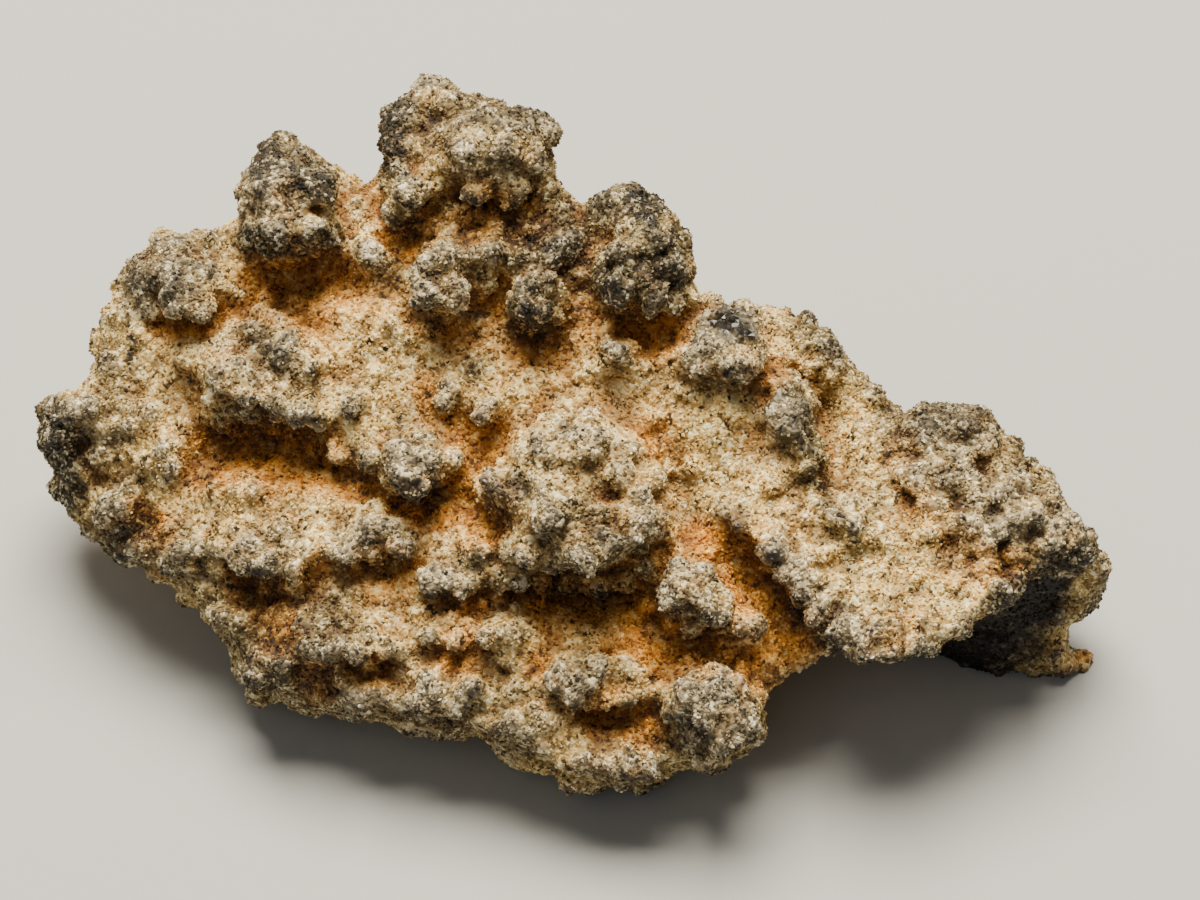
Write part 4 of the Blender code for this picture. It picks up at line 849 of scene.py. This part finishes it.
skin.materials.clear()
skin.materials.append(fused_sand("fused_quartz_sand"))
crust = bpy.data.objects.new("fused_sand_crust", skin)
bpy.context.scene.collection.objects.link(crust)
print("crust made, with", len(skin.materials), "material")

# %% [markdown]
# ## Grains
# Grains half sunk in the melt give the piece its sparkle and its rough outline. A Geometry Nodes tree
# scatters points over the skin, puts a small eight-sided crystal at each, turns and stretches it at random,
# and gives it a tone of its own. The skin's stains and painted shade pass on to the grains, which use the
# same sand. The grains are as wide as medium sand's, but real sand has more of them to a square millimetre
# than a model can hold, so they stand apart and the pattern on the skin fills in between. They come in four
# layers, each with its own seed, so that no piece has more than 200,000 triangles. Bare glass and the
# ground under the piece get none.

# %% Make the tree that scatters grains
FULL_TURN = 6.283
GRAIN_STRETCH = (0.65, 1.35)


def grain_tree(material):
    tree = bpy.data.node_groups.new("scatter_grains", "GeometryNodeTree")
    for name, kind in (("Skin", "NodeSocketGeometry"), ("Grain size", "NodeSocketFloat"),
                       ("Grains per square metre", "NodeSocketFloat"), ("Seed", "NodeSocketInt")):
        tree.interface.new_socket(name, in_out="INPUT", socket_type=kind)
    tree.interface.new_socket("Grains", in_out="OUTPUT", socket_type="NodeSocketGeometry")
    given = tree.nodes.new("NodeGroupInput").outputs
    cover = add(tree, "GeometryNodeInputNamedAttribute", {"data_type": "FLOAT"}, Name="grain_cover")
    spread = add(tree, "ShaderNodeMath", {"operation": "MULTIPLY"}, i0=given["Grains per square metre"],
                 i1=cover.outputs["Attribute"]).outputs[0]
    dots = add(tree, "GeometryNodeDistributePointsOnFaces", Mesh=given["Skin"], Density=spread,
               Seed=given["Seed"])
    crystal = add(tree, "GeometryNodeMeshUVSphere", Segments=4, Rings=2, Radius=0.5)
    turn = add(tree, "FunctionNodeRandomValue", {"data_type": "FLOAT_VECTOR"}, Max=(FULL_TURN,) * 3,
               Seed=given["Seed"])
    stretch = add(tree, "FunctionNodeRandomValue", {"data_type": "FLOAT_VECTOR"}, Min=(GRAIN_STRETCH[0],) * 3,
                  Max=(GRAIN_STRETCH[1],) * 3, ID=add(tree, "GeometryNodeInputIndex").outputs[0])
    size = add(tree, "ShaderNodeVectorMath", {"operation": "SCALE"}, i0=stretch.outputs["Value"],
               Scale=given["Grain size"])
    placed = add(tree, "GeometryNodeInstanceOnPoints", Points=dots.outputs["Points"],
                 Instance=crystal.outputs["Mesh"], Rotation=turn.outputs["Value"], Scale=size.outputs[0])
    tone = add(tree, "FunctionNodeRandomValue", {"data_type": "FLOAT"}, i2=0.0, i3=1.0, Seed=given["Seed"])
    toned = add(tree, "GeometryNodeStoreNamedAttribute", {"data_type": "FLOAT", "domain": "INSTANCE"},
                Geometry=placed.outputs["Instances"], Name="grain_tone", Value=tone.outputs[1])
    real = add(tree, "GeometryNodeRealizeInstances", Geometry=toned.outputs["Geometry"])
    done = add(tree, "GeometryNodeSetMaterial", Geometry=real.outputs["Geometry"], Material=material)
    add(tree, "NodeGroupOutput", i0=done.outputs["Geometry"])
    return tree


def socket_id(tree, name):
    return next(item.identifier for item in tree.interface.items_tree if item.name == name)


def grain_layer(name, tree, size, per_mm2, seed):
    """One layer of grains on the crust as a plain mesh object."""
    host = bpy.data.objects.new("host", crust.data)
    bpy.context.scene.collection.objects.link(host)
    scatter = host.modifiers.new("grains", "NODES")
    scatter.node_group = tree
    scatter[socket_id(tree, "Grain size")] = size * MM
    scatter[socket_id(tree, "Grains per square metre")] = per_mm2 / MM ** 2
    scatter[socket_id(tree, "Seed")] = seed
    graph = bpy.context.evaluated_depsgraph_get()
    mesh = bpy.data.meshes.new_from_object(host.evaluated_get(graph))
    bpy.data.objects.remove(host)
    layer = bpy.data.objects.new(name, mesh)
    bpy.context.scene.collection.objects.link(layer)
    print(name, "has", triangles_in(mesh), "triangles")
    return layer


# %% Scatter the grains
# name, grain width, grains to a square millimetre, seed
GRAIN_LAYERS = (
    ("quartz_grains_fine_1", 0.22, 3.1, 3), ("quartz_grains_fine_2", 0.26, 3.1, 11),
    ("quartz_grains_medium_1", 0.32, 3.1, 5), ("quartz_grains_medium_2", 0.40, 1.8, 7),
)
FROM_THE_GROUND = (0.3, 0.8)
BACK_COVER = 0.6

cover = step(points[:, 2], *FROM_THE_GROUND) * (1.0 - np.clip(glass_and_shadow, 0.0, 1.0))
cover = cover * (BACK_COVER + (1.0 - BACK_COVER) * front)
store(skin, "grain_cover", cover)
grain_maker = grain_tree(fused_sand("loose_quartz_grains", "grain_tone"))
grains = [grain_layer(name, grain_maker, size, per_mm2, seed) for name, size, per_mm2, seed in GRAIN_LAYERS]

# %% [markdown]
# ## Join the pieces to the solid
# The crust stands for the solid, which stays for physics, and everything rides on the one body.

# %% Replace the solid and ride on it
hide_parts("fulgurite")
for piece in (crust, *grains):
    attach(piece, "root")
print(1 + len(grains), "pieces ride on the root body")

# %% [markdown]
# ## Floor, light and camera
# A plain pale floor, a broad soft key from above and behind, so that each knob shades what is below it, and
# a weak fill. The camera looks straight at the rough face, from 400 mm. The lamps are in metres.

# %% Set up the floor and the light
FLOOR_REACH = 2.0


def matt_paint(name, code):
    """Plain wall paint: one colour, no gloss."""
    paint = bpy.data.materials.new(name)
    paint.use_nodes = True
    paint.node_tree.nodes["Principled BSDF"].inputs["Base Color"].default_value = colour(code)
    paint.node_tree.nodes["Principled BSDF"].inputs["Roughness"].default_value = 0.9
    return paint


def lamp(name, place, size, watts, code):
    light = bpy.data.lights.new(name, "AREA")
    light.size = size
    light.energy = watts
    light.color = colour(code)[:3]
    thing = bpy.data.objects.new(name, light)
    thing.location = place
    thing.rotation_euler = (-Vector(place)).to_track_quat("-Z", "Y").to_euler()
    bpy.context.scene.collection.objects.link(thing)


floor_mesh = bpy.data.meshes.new("floor")
corners = [(x * FLOOR_REACH, y * FLOOR_REACH, 0.0) for x, y in ((-1, -1), (1, -1), (1, 1), (-1, 1))]
floor_mesh.from_pydata(corners, [], [(0, 1, 2, 3)])
floor_mesh.materials.append(matt_paint("matt_floor_paint", "#b9bab8"))
floor = bpy.data.objects.new("floor", floor_mesh)
bpy.context.scene.collection.objects.link(floor)
floor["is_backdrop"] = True

lamp("key", place=(-0.02, 0.23, 0.63), size=0.45, watts=15.0, code="#fff6e2")
lamp("fill", place=(-0.3, -0.5, 0.6), size=0.6, watts=0.5, code="#eef3ff")
world = bpy.data.worlds.new("studio")
world.use_nodes = True
world.node_tree.nodes["Background"].inputs["Color"].default_value = colour("#f2f4f7")
world.node_tree.nodes["Background"].inputs["Strength"].default_value = 0.12
bpy.context.scene.world = world
print("floor, key, fill and world ready")

# %% Set up the camera
VIEW_WIDTH = 85.714
VIEW_ELEVATION = math.radians(50.0)
SENSOR_WIDTH = 36.0

lens = bpy.data.cameras.new("camera")
lens.sensor_width = SENSOR_WIDTH
lens.lens = SENSOR_WIDTH * LOOKING_DISTANCE / VIEW_WIDTH
lens.clip_start = 0.01
camera = bpy.data.objects.new("camera", lens)
towards = Vector((0.0, -math.cos(VIEW_ELEVATION), math.sin(VIEW_ELEVATION)))
camera.location = (Vector(FACE_CENTRE) + LOOKING_DISTANCE * towards) * MM
camera.rotation_euler = (-towards).to_track_quat("-Z", "Y").to_euler()
bpy.context.scene.collection.objects.link(camera)
bpy.context.scene.camera = camera
print("camera", [round(x, 3) for x in camera.location], "lens", round(lens.lens, 1), "mm")

# %% [markdown]
# ## Sizes
# The box of all that was made, beside the solid's own, shows how far the sand stands out of the solid.

# %% Write the sizes and finish
size = {"cad": CAD_BOX, "visual": [list(corner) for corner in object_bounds()]}
growth = [[round((b - a) / MM, 2) for a, b in zip(*pair)] for pair in zip(size["cad"], size["visual"])]
print("grows by", growth, "mm")
